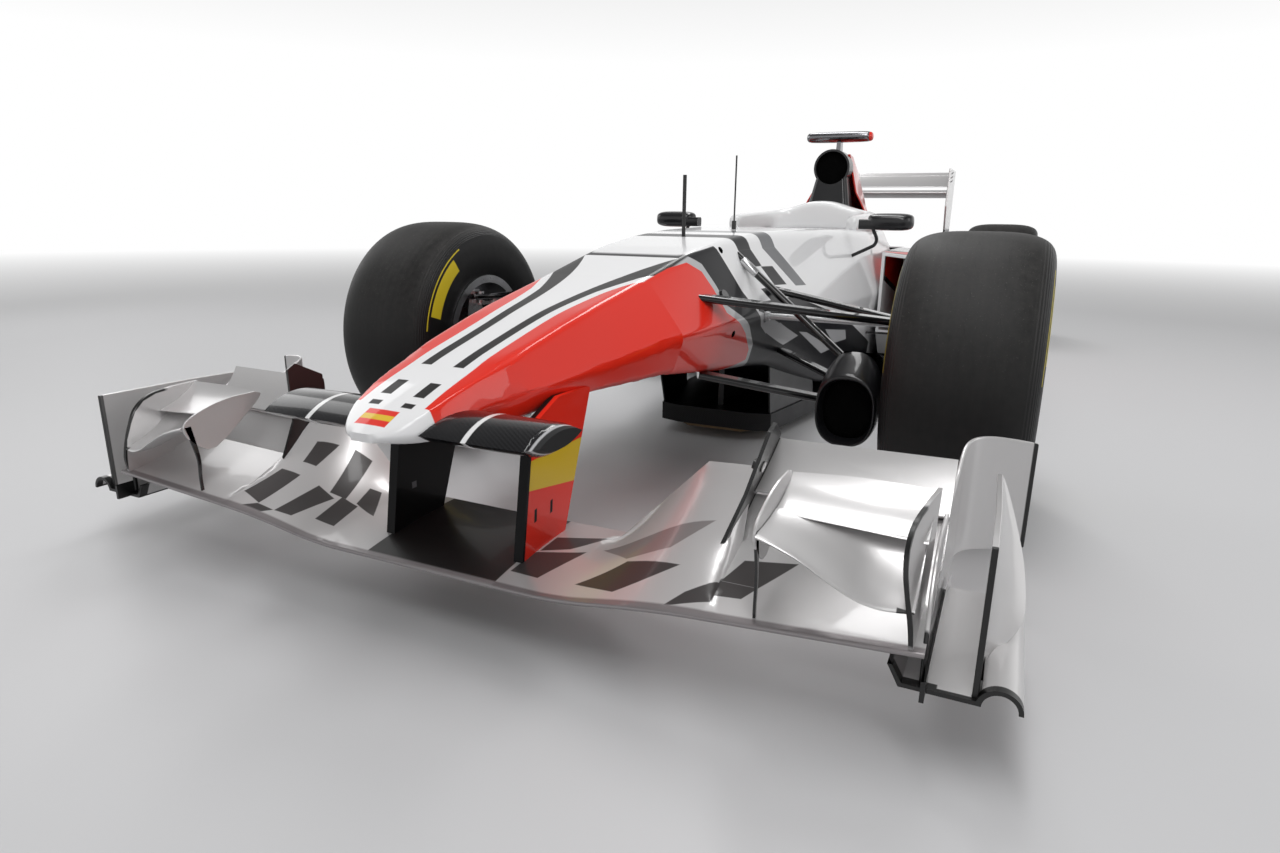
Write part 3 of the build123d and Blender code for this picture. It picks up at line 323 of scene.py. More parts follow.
def body_paint(place):
    """Red flanks, white spine, two dark stripes, charcoal and grey flag squares, painted shade low down."""
    x, y, z = place.parts()
    half = abs(x)
    station = y - front_axle
    flank = station.spot(z)
    grain = place.noise(3.0)
    colour = grain.between(0.2, 0.8, 0.9).over(white, (0.84, 0.84, 0.85, 1))

    # Tub flank, from the cockpit forward, with painted shade under the arms
    for outlines, paint in ((grey_flank, mid_grey), (flank_chequers, charcoal), ([lower_dark_and_shade], charcoal),
                            (pale_bands_in_painted_shade, pale_grey), (charcoal_band, charcoal)):
        colour = flank.inside_any(outlines).past(0).over(colour, paint)

    # Two dark stripes that open out towards the shoulders of the nose
    run = station + 0.94
    cube = run * run * run
    inner = cube * 0.3175 + 0.022
    widening = station.past(-0.40, 0.30)
    outer = cube * 0.41 + 0.043 + widening * 0.030
    stripe = half.past(inner) & ~half.past(outer)
    shown = station.between(-0.953, -0.235) | station.between(-1.050, -1.008)
    shown = shown | station.between(-1.078, -1.067)
    colour = (stripe & shown).over(colour, stripe_grey)

    # Red sides with a pale outline behind them
    nose_red = (half - outer - 0.020) & (-0.38 - station) & (station + 1.072)
    red = nose_red | (flank.inside(red_flank) & (half - 0.105)) | flank.inside(red_tongue)
    spine = ~half.past(0.131, 0.004)
    outline = red.past(-0.022) & station.past(-0.47, 0.05) & ~spine
    colour = outline.over(colour, pale_grey)
    colour = red.past(0).over(colour, racing_red)

    # Band in three colours on the tip, and the tip itself left white
    tip_band = station.between(-1.122, -1.088) & half.between(-1, 0.029)
    colour = tip_band.over(colour, racing_red)
    colour = (tip_band & station.between(-1.110, -1.099)).over(colour, band_yellow)

    colour = flank.inside(underside).past(0, 0.004).over(colour, black)
    peel = place.noise(420, 1.0).bump(0.04, 0.0004)
    return {"Base Color": colour, "Normal": peel, "Coat Weight": lacquer(colour)}


gloss = {"Roughness": 0.35, "Specular IOR Level": 0.12, "Coat Weight": 0.75, "Coat Roughness": 0.04}
painted_body = surface("painted_body", gloss, body_paint)
skin("monocoque", painted_body, crease=40, filled=(36, 8), blend=16)


# Headrest, seat and belts. The horseshoe headrest is foam in a painted shell, lifted out to free
# the driver. The seat is a moulded carbon bucket, and the belts are bolted to the tub behind it.
def white_shell(place):
    return {"Base Color": place.noise(5.0).over((0.79, 0.79, 0.80, 1), (0.84, 0.84, 0.84, 1)),
            "Normal": place.noise(380, 1.0).bump(0.05, 0.0004)}


def woven(place):
    """A two by two twill of carbon tows under lacquer."""
    tow = 2.4 * mm
    x, y, z = place.parts()
    warp = ((x + z) / tow).of("FLOOR")
    weft = ((y + z * 0.4) / tow).of("FLOOR")
    step = ((warp + weft) / 4).of("FRACT")
    twill = step.past(0.49, 0.02)
    dust_and_sheen = place.noise(14, 4.0)
    return {"Base Color": twill.over((0.005, 0.005, 0.006, 1), (0.013, 0.013, 0.0145, 1)),
            "Roughness": dust_and_sheen * 0.22 + 0.22,
            "Normal": twill.bump(0.12, 0.0003)}


def webbing_weave(place):
    x, y, z = place.parts()
    rib = (y * 900).of("SINE")
    return {"Base Color": rib.past(0, 1.2).over((0.42, 0.012, 0.01, 1), (0.60, 0.02, 0.015, 1)),
            "Normal": rib.bump(0.5, 0.0005)}


white_paint = surface("white_paint", gloss, white_shell)
bare_lacquer = {"Specular IOR Level": 0.25, "Coat Weight": 0.5, "Coat Roughness": 0.06}
carbon = surface("carbon", bare_lacquer, woven)
webbing = surface("webbing", {"Roughness": 0.75, "Sheen Weight": 0.2}, webbing_weave)
skin("seat", carbon)


def ring(middle, half_across, half_up, power, count=32, across=(1, 0, 0), upward=(0, 0, 1)):
    """Points of a rounded section about a middle in mm, between a circle and a box in shape."""
    points = []
    for step in range(count):
        turn = 2 * math.pi * step / count
        run, rise = math.cos(turn), math.sin(turn)
        run = math.copysign(abs(run) ** (2 / power), run) * half_across
        rise = math.copysign(abs(rise) ** (2 / power), rise) * half_up
        spot = Vector(middle) + Vector(across) * run + Vector(upward) * rise
        points.append((spot.x * mm, spot.y * mm + front_axle, spot.z * mm))
    return points


def bridged(rings, cap_start=True, cap_end=True):
    """A mesh that joins closed sections one to the next, with its ends filled."""
    mesh = bmesh.new()
    loops = []
    for points in rings:
        corners = [mesh.verts.new(point) for point in points]
        loops.append([mesh.edges.new(pair) for pair in zip(corners, corners[1:] + corners[:1])])
    for first, second in zip(loops, loops[1:]):
        bmesh.ops.bridge_loops(mesh, edges=first + second)
    for wanted, edges in ((cap_start, loops[0]), (cap_end, loops[-1])):
        if wanted:
            bmesh.ops.holes_fill(mesh, edges=edges, sides=0)
    bmesh.ops.recalc_face_normals(mesh, faces=mesh.faces)
    return mesh


def loft(name, rings, look, body="root", crease=50, cap_end=True, levels=1):
    """A skin over a run of sections, smoothed along its length."""
    mesh = bridged(rings, cap_end=cap_end)
    made = piece(name, mesh, look, body, crease, weighted=False)
    if levels:
        smooth = made.modifiers.new("smooth_sections", "SUBSURF")
        smooth.levels = smooth.render_levels = levels
    return made


# Path of the headrest: width, station, top height, half thickness
collar = [(232, 1150, 690, 26), (240, 1240, 696, 28), (244, 1380, 702, 30), (240, 1520, 706, 34),
          (214, 1620, 712, 44), (150, 1668, 722, 52), (92, 1680, 744, 56), (46, 1684, 756, 58),
          (0, 1685, 758, 58)]
collar_base = 628
whole_collar = collar + [(-width, *rest) for width, *rest in collar[-2::-1]]
collar_rings = []
for index, (width, station, top, thick) in enumerate(whole_collar):
    before = whole_collar[max(index - 1, 0)]
    after = whole_collar[min(index + 1, len(whole_collar) - 1)]
    along = Vector((after[0] - before[0], after[1] - before[1], 0)).normalized()
    sideways = along.cross(Vector((0, 0, 1)))
    middle = (width, station, (top + collar_base) / 2)
    collar_rings.append(ring(middle, thick, (top - collar_base) / 2, 3.2, across=sideways))
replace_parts(loft("headrest_shell", collar_rings, white_paint), "headrest")


def strap(name, route, width, thickness=3):
    """A flat belt along a list of points in mm, each with the way its face looks."""
    rings = []
    for index, (point, facing) in enumerate(route):
        before = Vector(route[max(index - 1, 0)][0])
        after = Vector(route[min(index + 1, len(route) - 1)][0])
        out = Vector(facing).normalized()
        side = (after - before).cross(out).normalized() * width / 2
        lift = out * thickness / 2
        corners = [Vector(point) + shift for shift in (side + lift, lift - side, -side - lift, side - lift)]
        rings.append([(spot.x * mm, spot.y * mm + front_axle, spot.z * mm) for spot in corners])
    piece(name, bridged(rings), webbing, crease=60)


for side, hand in ((1, "left"), (-1, "right")):
    strap("shoulder_belt_" + hand, [
        ((side * 80, 1500, 560), (0, -0.4, 1)),
        ((side * 78, 1420, 545), (0, -0.8, 1)),
        ((side * 70, 1370, 470), (0, -1, 0.4)),
        ((side * 52, 1330, 360), (0, -1, 0.3)),
        ((side * 26, 1290, 270), (0, -1, 0.5))], 62)
    strap("lap_belt_" + hand, [
        ((side * 176, 1330, 218), (-side, -0.4, 0.6)),
        ((side * 120, 1290, 235), (-side * 0.4, -0.6, 1)),
        ((side * 30, 1275, 250), (0, -0.8, 1))], 46)


# Steering wheel and rack. The wheel is a flat carbon plate with rubber grips and a blank display,
# on a quick-release column. The rack crosses the front of the tub and pushes both knuckles.
def dull_rubber(place):
    colour = place.noise(60, 3.0).over((0.018, 0.018, 0.018, 1), (0.034, 0.034, 0.034, 1))
    return {"Base Color": colour, "Normal": place.noise(900, 2.0).bump(0.25, 0.0004)}


def brushed(place):
    streaks = place.stretched(40, 400, 400).noise(1.0, 3.0)
    return {"Base Color": streaks.over((0.52, 0.52, 0.53, 1), (0.66, 0.66, 0.66, 1)),
            "Roughness": streaks * 0.25 + 0.18}


black_plastic = surface("black_plastic", {"Roughness": 0.6}, dull_rubber)
bright_metal = surface("bright_metal", {"Metallic": 1.0}, brushed)
skin("steering_wheel", carbon)
skin("steering_mounts", bright_metal)
skin("steering_rack", bright_metal)



def seat_on(node, start, way):
    """The point and the outward way where a straight line first meets a skin."""
    point, out, _, _ = shapes[node].ray_cast(Vector(start), Vector(way))
    return (point, out) if point else None


def studs(name, seats, radius, height, look, body="root", sides=16):
    """Round heads in mm, each with its foot just under the surface that it sits on."""
    mesh = bmesh.new()
    sunk = 0.4
    for point, out in filter(None, seats):
        turn = out.to_track_quat("Z", "Y").to_matrix().to_4x4()
        place = Matrix.Translation(point + out * (height - sunk) / 2 * mm) @ turn
        bmesh.ops.create_cone(mesh, cap_ends=True, segments=sides, radius1=radius * mm,
                              radius2=radius * 0.86 * mm, depth=(height + sunk) * mm, matrix=place)
    piece(name, mesh, look, body)


wheel_low, wheel_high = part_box("steering_wheel")
grip_middle = (wheel_low.z + wheel_high.z) / 2
button_tops = []
for across in (-72, -54, 54, 72):
    for rise in (-28, 0, 28):
        ahead_of_it = (across * mm, wheel_high.y + 0.3, grip_middle + rise * mm)
        button_tops.append(seat_on("steering_wheel", ahead_of_it, (0, -1, 0)))
button_yellow = surface("button_yellow", {"Base Color": (0.7, 0.45, 0.03, 1), "Roughness": 0.4})
studs("wheel_buttons", button_tops, 6, 5, button_yellow, "steering_wheel")


# Nose cone and camera pods. The nose is a crash structure of carbon and honeycomb that carries the
# front wing. Two wing-shaped pods stand out from its tip, with a white ring and a dull end cap.
def pod_paint(place):
    x, y, z = place.parts()
    half = abs(x)
    base = woven(place)
    pale_ring = half.between(0.146, 0.155)
    cap = half.past(0.2575)
    line = half.between(0.2545, 0.2575)
    colour = pale_ring.over(base["Base Color"], white)
    colour = cap.over(colour, (0.02, 0.02, 0.021, 1))
    colour = line.over(colour, pale_grey)
    return {**base, "Base Color": colour, "Roughness": cap * 0.4 + 0.22, "Coat Weight": ~cap * 0.6}


def seats_on_flanks(node, *spots):
    """Where both flanks of a skin lie at each station and height in mm."""
    return [seat_on(node, (side * 0.5, front_axle + station * mm, height * mm), (-side, 0, 0))
            for side in (1, -1) for station, height in spots]


skin("nose_cone", painted_body, crease=62, filled=(16, 45, 62), blend=40)
studs("nose_bolts", seats_on_flanks("nose_cone", (-870, 357)), 7, 3, white_paint)
pod_look = surface("pod_carbon", {"Specular IOR Level": 0.2, "Coat Roughness": 0.05}, pod_paint)
skin("nose_camera_pods", pod_look)

# Front wing. The main plane, its slotted flaps and the small upper cascades are hollow carbon
# sections, painted pearl silver with flag squares. Two plates under the nose carry the plane.
pearl = (0.58, 0.57, 0.57, 1)
pearl_light = (0.65, 0.64, 0.64, 1)
edge_black = (0.006, 0.006, 0.006, 1)
flake_share = 0.45
# Dark flag squares on the main plane in mm, place across and station; the one at -420 across is partly a
# pivot's painted shadow
squares = [[(140, -980), (193, -982), (228, -882), (146, -912)],
           [(262, -982), (335, -997), (420, -937), (325, -925)],
           [(425, -1018), (490, -995), (492, -948), (448, -985)],
           [(486, -978), (530, -976), (546, -948), (488, -944)],
           [(488, -944), (546, -948), (588, -884), (508, -894)],
           [(150, -906), (195, -882), (243, -815), (150, -850)],
           [(-476, -982), (-418, -998), (-400, -912), (-450, -912)],
           [(-448, -1016), (-398, -1016), (-378, -1000), (-420, -999)],
           [(-376, -1000), (-338, -995), (-308, -918), (-352, -912)],
           [(-296, -978), (-252, -976), (-262, -905), (-300, -905)],
           [(-325, -912), (-292, -905), (-318, -802), (-352, -812)],
           [(-420, -886), (-388, -883), (-380, -826), (-426, -840)],
           [(-270, -900), (-215, -914), (-262, -840), (-282, -850)]]
soft_square = [(258, -878), (320, -918), (390, -905), (446, -855)]


def pearl_paint(place):
    flake = place.noise(900, 1.0)
    cloud = place.noise(4.0)
    return {"Base Color": cloud.over(pearl, pearl_light), "Roughness": flake * 0.10 + 0.26,
            "Normal": place.noise(400, 1.0).bump(0.04, 0.0004)}


def edged(base, edges):
    """Pearl silver with black paint, free of flake, over its edges."""
    colour = edges.over(base["Base Color"], edge_black)
    return {**base, "Base Color": colour, "Metallic": ~edges * flake_share,
            "Coat Weight": lacquer(colour, 0.6)}


def plane_paint(place):
    """Pearl silver with dark flag squares, one partly a painted shadow, either side of a black middle."""
    x, y, z = place.parts()
    station = y - front_axle
    top = x.spot(station)
    base = pearl_paint(place)
    colour = base["Base Color"]
    dark = top.inside_any(squares).past(0)
    colour = dark.over(colour, (0.045, 0.040, 0.040, 1))
    colour = top.inside(soft_square).past(0).over(colour, (0.30, 0.28, 0.28, 1))
    middle = ~abs(x).past(0.134)
    colour = middle.over(colour, (0.02, 0.018, 0.018, 1))
    lip = ~station.past(-1.0135, 0.004)
    colour = lip.over(colour, (0.26, 0.24, 0.245, 1))
    return {**base, "Base Color": colour, "Metallic": ~(middle | dark) * flake_share,
            "Coat Weight": lacquer(colour, 0.7)}


def pylon_paint(place):
    """Yellow over red on the outer faces, a black front edge, and plain black inside."""
    x, y, z = place.parts()
    station = y - front_axle
    side = station.spot(z)
    outer = abs(x).past(0.1375)
    level = z + (station + 0.944) * 0.17
    colour = (level.past(0.247) & ~z.past(0.294)).over(racing_red, (0.66, 0.44, 0.02, 1))
    # Two slots, painted black for the shade inside them
    for front in (-916, -866):
        slot = side.inside([(front, 184), (front + 8, 185), (front + 10, 208), (front + 2, 207)])
        colour = slot.past(0).over(colour, black)
    front_edge = ~(station - z * 0.164).past(-0.9685)
    colour = (front_edge | ~outer).over(colour, black)
    bolts = side.inside([(-900, 196), (-888, 196), (-888, 208), (-900, 208)])
    colour = (bolts.past(0) & ~outer).over(colour, mid_grey)
    return {"Base Color": colour, "Coat Weight": lacquer(colour)}


flap_look = {"Coat Weight": 0.6, "Coat Roughness": 0.06}
pearl_silver = surface("pearl_silver", {**flap_look, "Metallic": flake_share}, pearl_paint)
wing_plane = surface("wing_plane_paint", {"Coat Weight": 0.7, "Coat Roughness": 0.05}, plane_paint)
skin("front_wing_main_plane", wing_plane, crease=40, filled=(24, 12))
skin("front_wing_pylons", surface("pylon_paint", gloss, pylon_paint))


def flap_paint(place):
    """Silver flaps, with the dark fences that lean outwards at their inner ends."""
    x, y, z = place.parts()
    lean = abs(x) - (z - 0.160) * 0.268
    return edged(pearl_paint(place), ~lean.past(0.4635))


def cascade_paint(place):
    """Silver blades and fences, with the outer fence's front edge painted black."""
    x, y, z = place.parts()
    half = abs(x)
    station = y - front_axle
    side = station.spot(z)
    foot = ~half.between(0.7755, 0.9) & ~station.past(-1.0225)
    rounded = ~side.inside(fence_outline).past(0)
    front = half.past(0.744) & (rounded | foot) & ~station.past(-0.925, 0.01)
    return edged(pearl_paint(place), front)


def endplate_paint(place):
    """Silver plates with their front, rear and lower edges painted black."""
    x, y, z = place.parts()
    half = abs(x)
    station = y - front_axle
    foot = ~z.past(0.1135) | (~z.past(0.141) & ~station.past(-1.0085))
    vane = half.past(0.840) & ~station.past(-1.0035)
    wall = ~half.past(0.800) & ~station.past(-0.9995) & ~z.past(0.190)
    rear = half.past(0.8885) & station.past(-0.545)
    return edged(pearl_paint(place), foot | vane | wall | rear)


skin("front_wing_flaps", surface("flap_paint", flap_look, flap_paint))


def eased(rows, between):
    """The rows of a table with more of them in between, on a smooth curve through them all."""
    finer = []
    outer_rows = [rows[0], *rows, rows[-1]]
    for near_rows in zip(outer_rows, outer_rows[1:], outer_rows[2:], outer_rows[3:]):
        for step in range(between):
            share = step / between
            weights = (-0.5 * share + share ** 2 - 0.5 * share ** 3,
                       1 - 2.5 * share ** 2 + 1.5 * share ** 3,
                       0.5 * share + 2 * share ** 2 - 1.5 * share ** 3,
                       -0.5 * share ** 2 + 0.5 * share ** 3)
            finer.append(tuple(sum(weight * value for weight, value in zip(weights, column))
                               for column in zip(*near_rows)))
    return finer + [rows[-1]]


def moulded_plate(name, rows, thickness, look, round_edge=1.2):
    """A thin laminate over rows of points in mm, with its edges rounded."""
    mesh = bmesh.new()
    chains = []
    for row in rows:
        line = [mesh.verts.new((x * mm, station * mm + front_axle, z * mm)) for x, station, z in row]
        chains.append([mesh.edges.new(pair) for pair in zip(line, line[1:])])
    for first, second in zip(chains, chains[1:]):
        bmesh.ops.bridge_loops(mesh, edges=first + second)
    bmesh.ops.recalc_face_normals(mesh, faces=mesh.faces)
    bmesh.ops.solidify(mesh, geom=mesh.faces[:], thickness=thickness * mm)
    bmesh.ops.recalc_face_normals(mesh, faces=mesh.faces)
    made = piece(name, mesh, look, crease=50, weighted=False)
    rim = made.modifiers.new("rounded_edge", "BEVEL")
    rim.width = round_edge * mm
    rim.segments = 2
    rim.limit_method = "ANGLE"
    rim.angle_limit = math.radians(50)


def blade_ring(x, lead_station, lead_height, trail_station, trail_height, thick, sag, count=14):
    """A hollow-topped wing section: its upper side, then its lower side back to the front."""
    lead, trail = Vector((lead_station, lead_height)), Vector((trail_station, trail_height))
    along = trail - lead
    across = Vector((-along.y, along.x)).normalized()
    upper, lower = [], []
    for step in range(count + 1):
        share = (1 - math.cos(math.pi * step / count)) / 2
        depth = 5 * thick * (0.2969 * share ** 0.5 - 0.126 * share - 0.3516 * share ** 2
                             + 0.2843 * share ** 3 - 0.0996 * share ** 4)
        spine = lead + along * share - across * 4 * sag * share * (1 - share)
        upper.append(spine + across * depth)
        lower.append(spine - across * depth)
    points = upper + lower[-2:0:-1]
    return [(x * mm, point.x * mm + front_axle, point.y * mm) for point in points]


# Front of the outer fence, and all that lies behind it: station, height
fence_outline = [(-1023, 100), (-1022, 236), (-1013, 268), (-1002, 291), (-981, 309), (-951, 318),
                 (-900, 321), (-700, 321), (-700, 100)]
# Cascade blades: place across, front station and height, rear station and height, thickness, sag
lower_blade = [(563, -1036, 284, -940, 292, 12, 6), (590, -1038, 277, -932, 291, 12, 8),
               (620, -1039, 266, -925, 289, 12, 10), (655, -1040, 247, -920, 286, 12, 12),
               (690, -1038, 228, -918, 282, 12, 14), (725, -1033, 218, -920, 279, 12, 13),
               (765, -1023, 217, -926, 276, 11, 12)]
upper_blade = [(563, -944, 288, -852, 320, 7, 8), (660, -944, 284, -852, 326, 7, 10),
               (767, -944, 279, -853, 325, 7, 8)]
# Plates, from the foot up: height, front station, rear station, place across at the front and rear
outer_fence = [(168, -1022, -930, 768, 770), (200, -1027, -915, 765, 770), (240, -1023, -897, 757, 771),
               (266, -1017, -886, 752, 771), (293, -1006, -870, 750, 771), (312, -984, -856, 752, 771),
               (322, -953, -848, 757, 771), (326, -905, -846, 763, 771)]
inner_fence = [(234, -988, -970, 562, 562), (251, -1012, -940, 562, 562), (270, -1027, -914, 562, 562),
               (286, -1031, -893, 562, 562), (300, -1021, -874, 562, 562), (313, -990, -859, 562, 562),
               (322, -955, -856, 562, 562), (327, -915, -868, 562, 562)]
slim_stay = [(150, -1011, -1005, 562, 562), (180, -1012, -1006, 562, 562), (216, -1011, -1004, 562, 562),
             (250, -1018, -1008, 562, 562), (288, -1030, -1015, 562, 562)]
# End plate wall, front to back: place across, station, foot, top
wall_run = [(784, -1006, 116, 165), (783, -990, 116, 208), (782, -955, 116, 246), (781, -900, 116, 263),
            (781, -800, 116, 271), (782, -700, 116, 276), (783, -640, 116, 285), (785, -600, 116, 304),
            (789, -565, 116, 318), (801, -538, 116, 324), (823, -521, 116, 325), (850, -512, 118, 323),
            (878, -507, 122, 320), (896, -505, 128, 317)]
# Outer vane, front to back: station, foot across, foot height, top across, top height
vane_run = [(-1010, 848, 112, 848, 315), (-950, 850, 114, 848, 315), (-905, 864, 126, 848, 315),
            (-865, 892, 160, 848, 315), (-815, 888, 212, 847, 315), (-760, 874, 252, 846, 314),
            (-715, 858, 288, 845, 313), (-692, 848, 306, 845, 312)]
foot_height, sill_end = 139, -700


def lacquered_black(place):
    return {"Base Color": place.noise(9.0).over(black, (0.009, 0.009, 0.010, 1)),
            "Roughness": place.noise(60, 3.0) * 0.2 + 0.1}


gloss_black = surface("gloss_black", {
    "Specular IOR Level": 0.2, "Coat Weight": 1.0, "Coat Roughness": 0.03}, lacquered_black)
cascade_look = surface("cascade_paint", flap_look, cascade_paint)
endplate_look = surface("endplate_paint", flap_look, endplate_paint)


def cut_away(mesh, *planes):
    """Takes off what lies past each plane, given by a point and the way past it."""
    for where, way in planes:
        geometry = mesh.verts[:] + mesh.edges[:] + mesh.faces[:]
        bmesh.ops.bisect_plane(mesh, geom=geometry, plane_co=where, plane_no=way, clear_outer=True)


def keep_foot(mesh):
    """Leaves the arched footplate and the low sill that the wall and the vane stand on."""
    cut_away(mesh, ((0, 0, foot_height * mm), (0, 0, 1)), ((0, front_axle + sill_end * mm, 0), (0, 1, 0)))


skin("front_wing_endplates", endplate_look, trim=keep_foot)
shares = [step / 8 for step in range(9)]
# The slim stay is gloss black all over: black paint at its front edge, and painted shade on its narrow outer
# face
plates = [("outer_fence", outer_fence, 6, cascade_look), ("inner_fence", inner_fence, 4, cascade_look),
          ("stay", slim_stay, 4, gloss_black)]
for side, hand in ((1, "left"), (-1, "right")):
    for name, table in (("lower", lower_blade), ("upper", upper_blade)):
        rings = [blade_ring(side * row[0], *row[1:]) for row in eased(table, 5)]
        made = loft(f"cascade_{name}_blade_{hand}", rings, cascade_look, crease=60, levels=0)
        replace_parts(made, "front_wing_cascades")
    for name, table, thickness, look in plates:
        rows = [[(side * (near + (far - near) * share), front + (back - front) * share, height)
                 for share in shares] for height, front, back, near, far in eased(table, 4)]
        moulded_plate(f"cascade_{name}_{hand}", rows, thickness, look)
    wall = [[(side * x, station, low + (high - low) * share) for share in shares]
            for x, station, low, high in eased(wall_run, 4)]
    moulded_plate(f"endplate_wall_{hand}", wall, 6, endplate_look, round_edge=2.2)
    vane = [[(side * (x_high + (x_low - x_high) * (1 - share) ** 2), station, low + (high - low) * share)
             for share in shares] for station, x_low, low, x_high, high in eased(vane_run, 4)]
    moulded_plate(f"endplate_vane_{hand}", vane, 7.5, endplate_look, round_edge=2.0)

# Front suspension. Two wishbones of lens-shaped carbon tube each side, a pushrod and a track rod,
# with bonded metal ends. They carry the uprights, which the brake ducts wrap round.
skin("front_suspension_arms", gloss_black)


# Near black and dull all over: painted shade for the unlit insides of the duct throats, the intake and the
# damper holes
def painted_deep_shade(place):
    return {"Base Color": place.noise(20, 3.0).over((0.002, 0.002, 0.002, 1), (0.005, 0.005, 0.005, 1))}


painted_shade_black = surface("painted_shade_black", {"Specular IOR Level": 0.0, "Roughness": 1.0}, painted_deep_shade)

# Dark bosses where the upper legs enter the tub, and discs of painted shade for the holes that lead to the
# dampers
bosses = seats_on_flanks("monocoque", (-158, 499))
holes = seats_on_flanks("monocoque", (-58, 604), (-150, 411))
studs("arm_bosses", bosses, 19, 7, gloss_black, sides=32)
studs("damper_holes", holes, 9, 1.2, painted_shade_black, sides=24)

# Metal end of the pushrod: way along the rod, half sizes
sleeve = [(22, 13.5, 9.5), (24, 15, 11), (74, 15, 11), (78, 13.5, 9.5)]
# Scoop sections, from the throat round the lip to the neck: station, middle width, middle height, half sizes
scoop = [(-200, 520, 272, 55, 67), (-206, 520, 272, 55, 67), (-236, 520, 272, 56, 68),
         (-252, 520, 272, 61, 74), (-250, 520, 274, 66, 80), (-226, 520, 278, 67, 88),
         (-190, 520, 286, 67, 101), (-168, 521, 289, 65, 106)]
# A dark plug deep in each throat, painted shade for the duct's unlit inside: station, middle width, middle
# height, half sizes
plug = [(-200, 520, 272, 54, 66), (-206, 520, 272, 57, 70), (-214, 520, 272, 57, 70)]
scoop_end = -166


def keep_back(mesh):
    """Leaves the rear half of a brake duct, which the scoop leads into."""
    cut_away(mesh, ((0, front_axle + scoop_end * mm, 0), (0, -1, 0)))


def slot_for_leg(shell):
    """Opens the inner side of a scoop, so that it clears the lower front leg at full lock."""
    mesh = bmesh.new()
    mesh.from_mesh(shell)
    slot = []
    for face in mesh.faces:
        spot = face.calc_center_median()
        station = (spot.y - front_axle) / mm
        if abs(spot.x) < 500 * mm and 236 * mm < spot.z < 306 * mm and -190 < station < scoop_end:
            slot.append(face)
    bmesh.ops.delete(mesh, geom=slot, context="FACES")
    mesh.to_mesh(shell)
    mesh.free()


def duct_rings(side, sections):
    return [ring((side * across, station, height), half_wide, half_high, 2.5, 40)
            for station, across, height, half_wide, half_high in sections]


for side, hand in ((1, "left"), (-1, "right")):
    rod_top, rod_foot = Vector((side * 160, 42, 590)), Vector((side * 590, -4, 246))
    along = (rod_foot - rod_top).normalized()
    flat = Vector((0, 1, 0))
    rings = [ring(rod_top + along * way, wide, thick, 2, 24, flat, along.cross(flat))
             for way, wide, thick in sleeve]
    loft(f"pushrod_sleeve_{hand}", rings, bright_metal, crease=60, levels=0)
for side, hand in ((1, "left"), (-1, "right")):
    knuckle = hand + "_knuckle"
    skin(f"front_{hand}_upright", bright_metal)
    skin(f"front_{hand}_brake_duct", carbon, trim=keep_back)
    made = loft(f"front_{hand}_duct_scoop", duct_rings(side, scoop), carbon, knuckle, crease=70,
                cap_end=False)
    slot_for_leg(made.data)
    loft(f"front_{hand}_duct_throat", duct_rings(side, plug), painted_shade_black, knuckle, crease=40)

# Floor and guides. A flat carbon floor with an upswept tail runs under the car, with a skid of
# laminated wood down its middle. Turning vanes and side boards stand on its front corners.
dull_carbon = surface("dull_carbon", {
    "Specular IOR Level": 0.2, "Coat Weight": 0.12, "Coat Roughness": 0.3}, woven)


def skid_grain(place):
    grain = place.stretched(60, 2, 60).noise(1.0, 4.0)
    return {"Base Color": grain.over((0.16, 0.10, 0.05, 1), (0.30, 0.20, 0.11, 1)),
            "Normal": grain.bump(0.3, 0.001)}


skin("floor", dull_carbon)
skin("plank", surface("skid_wood", {"Roughness": 0.8}, skid_grain))
skin("turning_vanes", carbon)
skin("bargeboards", carbon)

# Sidepods and radiators. The pods are thin painted shells that lead air to a radiator on each
# side, and out over the gearbox. The radiators are brazed cores of thin fins.
pod_red = [(1300, 560), (1300, 470), (2200, 300), (3000, 260), (3000, 420), (2200, 520)]


def sidepod_paint(place):
    x, y, z = place.parts()
    station = y - front_axle
    flank = station.spot(z)
    colour = place.noise(3.0).over(white, (0.83, 0.83, 0.84, 1))
    depth = flank.inside(pod_red)
    colour = depth.past(-0.022).over(colour, charcoal)
    colour = depth.past(0).over(colour, racing_red)
    colour = (~z.past(0.150)).over(colour, black)
    return {"Base Color": colour, "Normal": place.noise(400, 1.0).bump(0.04, 0.0004)}


def core_fins(place):
    x, y, z = place.parts()
    fins = (z * 1400).of("SINE")
    tubes = (x * 420).of("SINE")
    colour = (fins * tubes).past(0, 0.6).over((0.05, 0.05, 0.05, 1), (0.30, 0.30, 0.31, 1))
    return {"Base Color": colour, "Normal": fins.bump(0.8, 0.002)}


pod_paint_look = surface("sidepod_paint", gloss, sidepod_paint)
skin("sidepods", pod_paint_look, crease=40, filled=(36, 8), blend=12)
skin("radiators", surface("radiator_core", {"Metallic": 0.7, "Roughness": 0.5}, core_fins))


# Engine, its cover and the air intake. The cover is one painted carbon shell from the roll hoop
# to the gearbox, with the intake ring in front. The camera bar stands on the hoop.
def cover_paint(place):
    x, y, z = place.parts()
    station = y - front_axle
    flank = station.spot(z)
    colour = place.noise(3.0).over(racing_red, (0.70, 0.020, 0.008, 1))
    white_part = flank.inside([(1850, 500), (3100, 380), (3100, 560), (2500, 620), (1850, 690)])
    colour = white_part.past(-0.018).over(colour, charcoal)
    colour = white_part.past(0).over(colour, white)
    return {"Base Color": colour, "Normal": place.noise(400, 1.0).bump(0.04, 0.0004)}


def bar_paint(place):
    x, y, z = place.parts()
    end = x.past(0.137)
    return {"Base Color": end.over((0.20, 0.20, 0.21, 1), racing_red), "Metallic": ~end * 0.95,
            "Roughness": place.noise(30, 2.0) * 0.1 + 0.15}


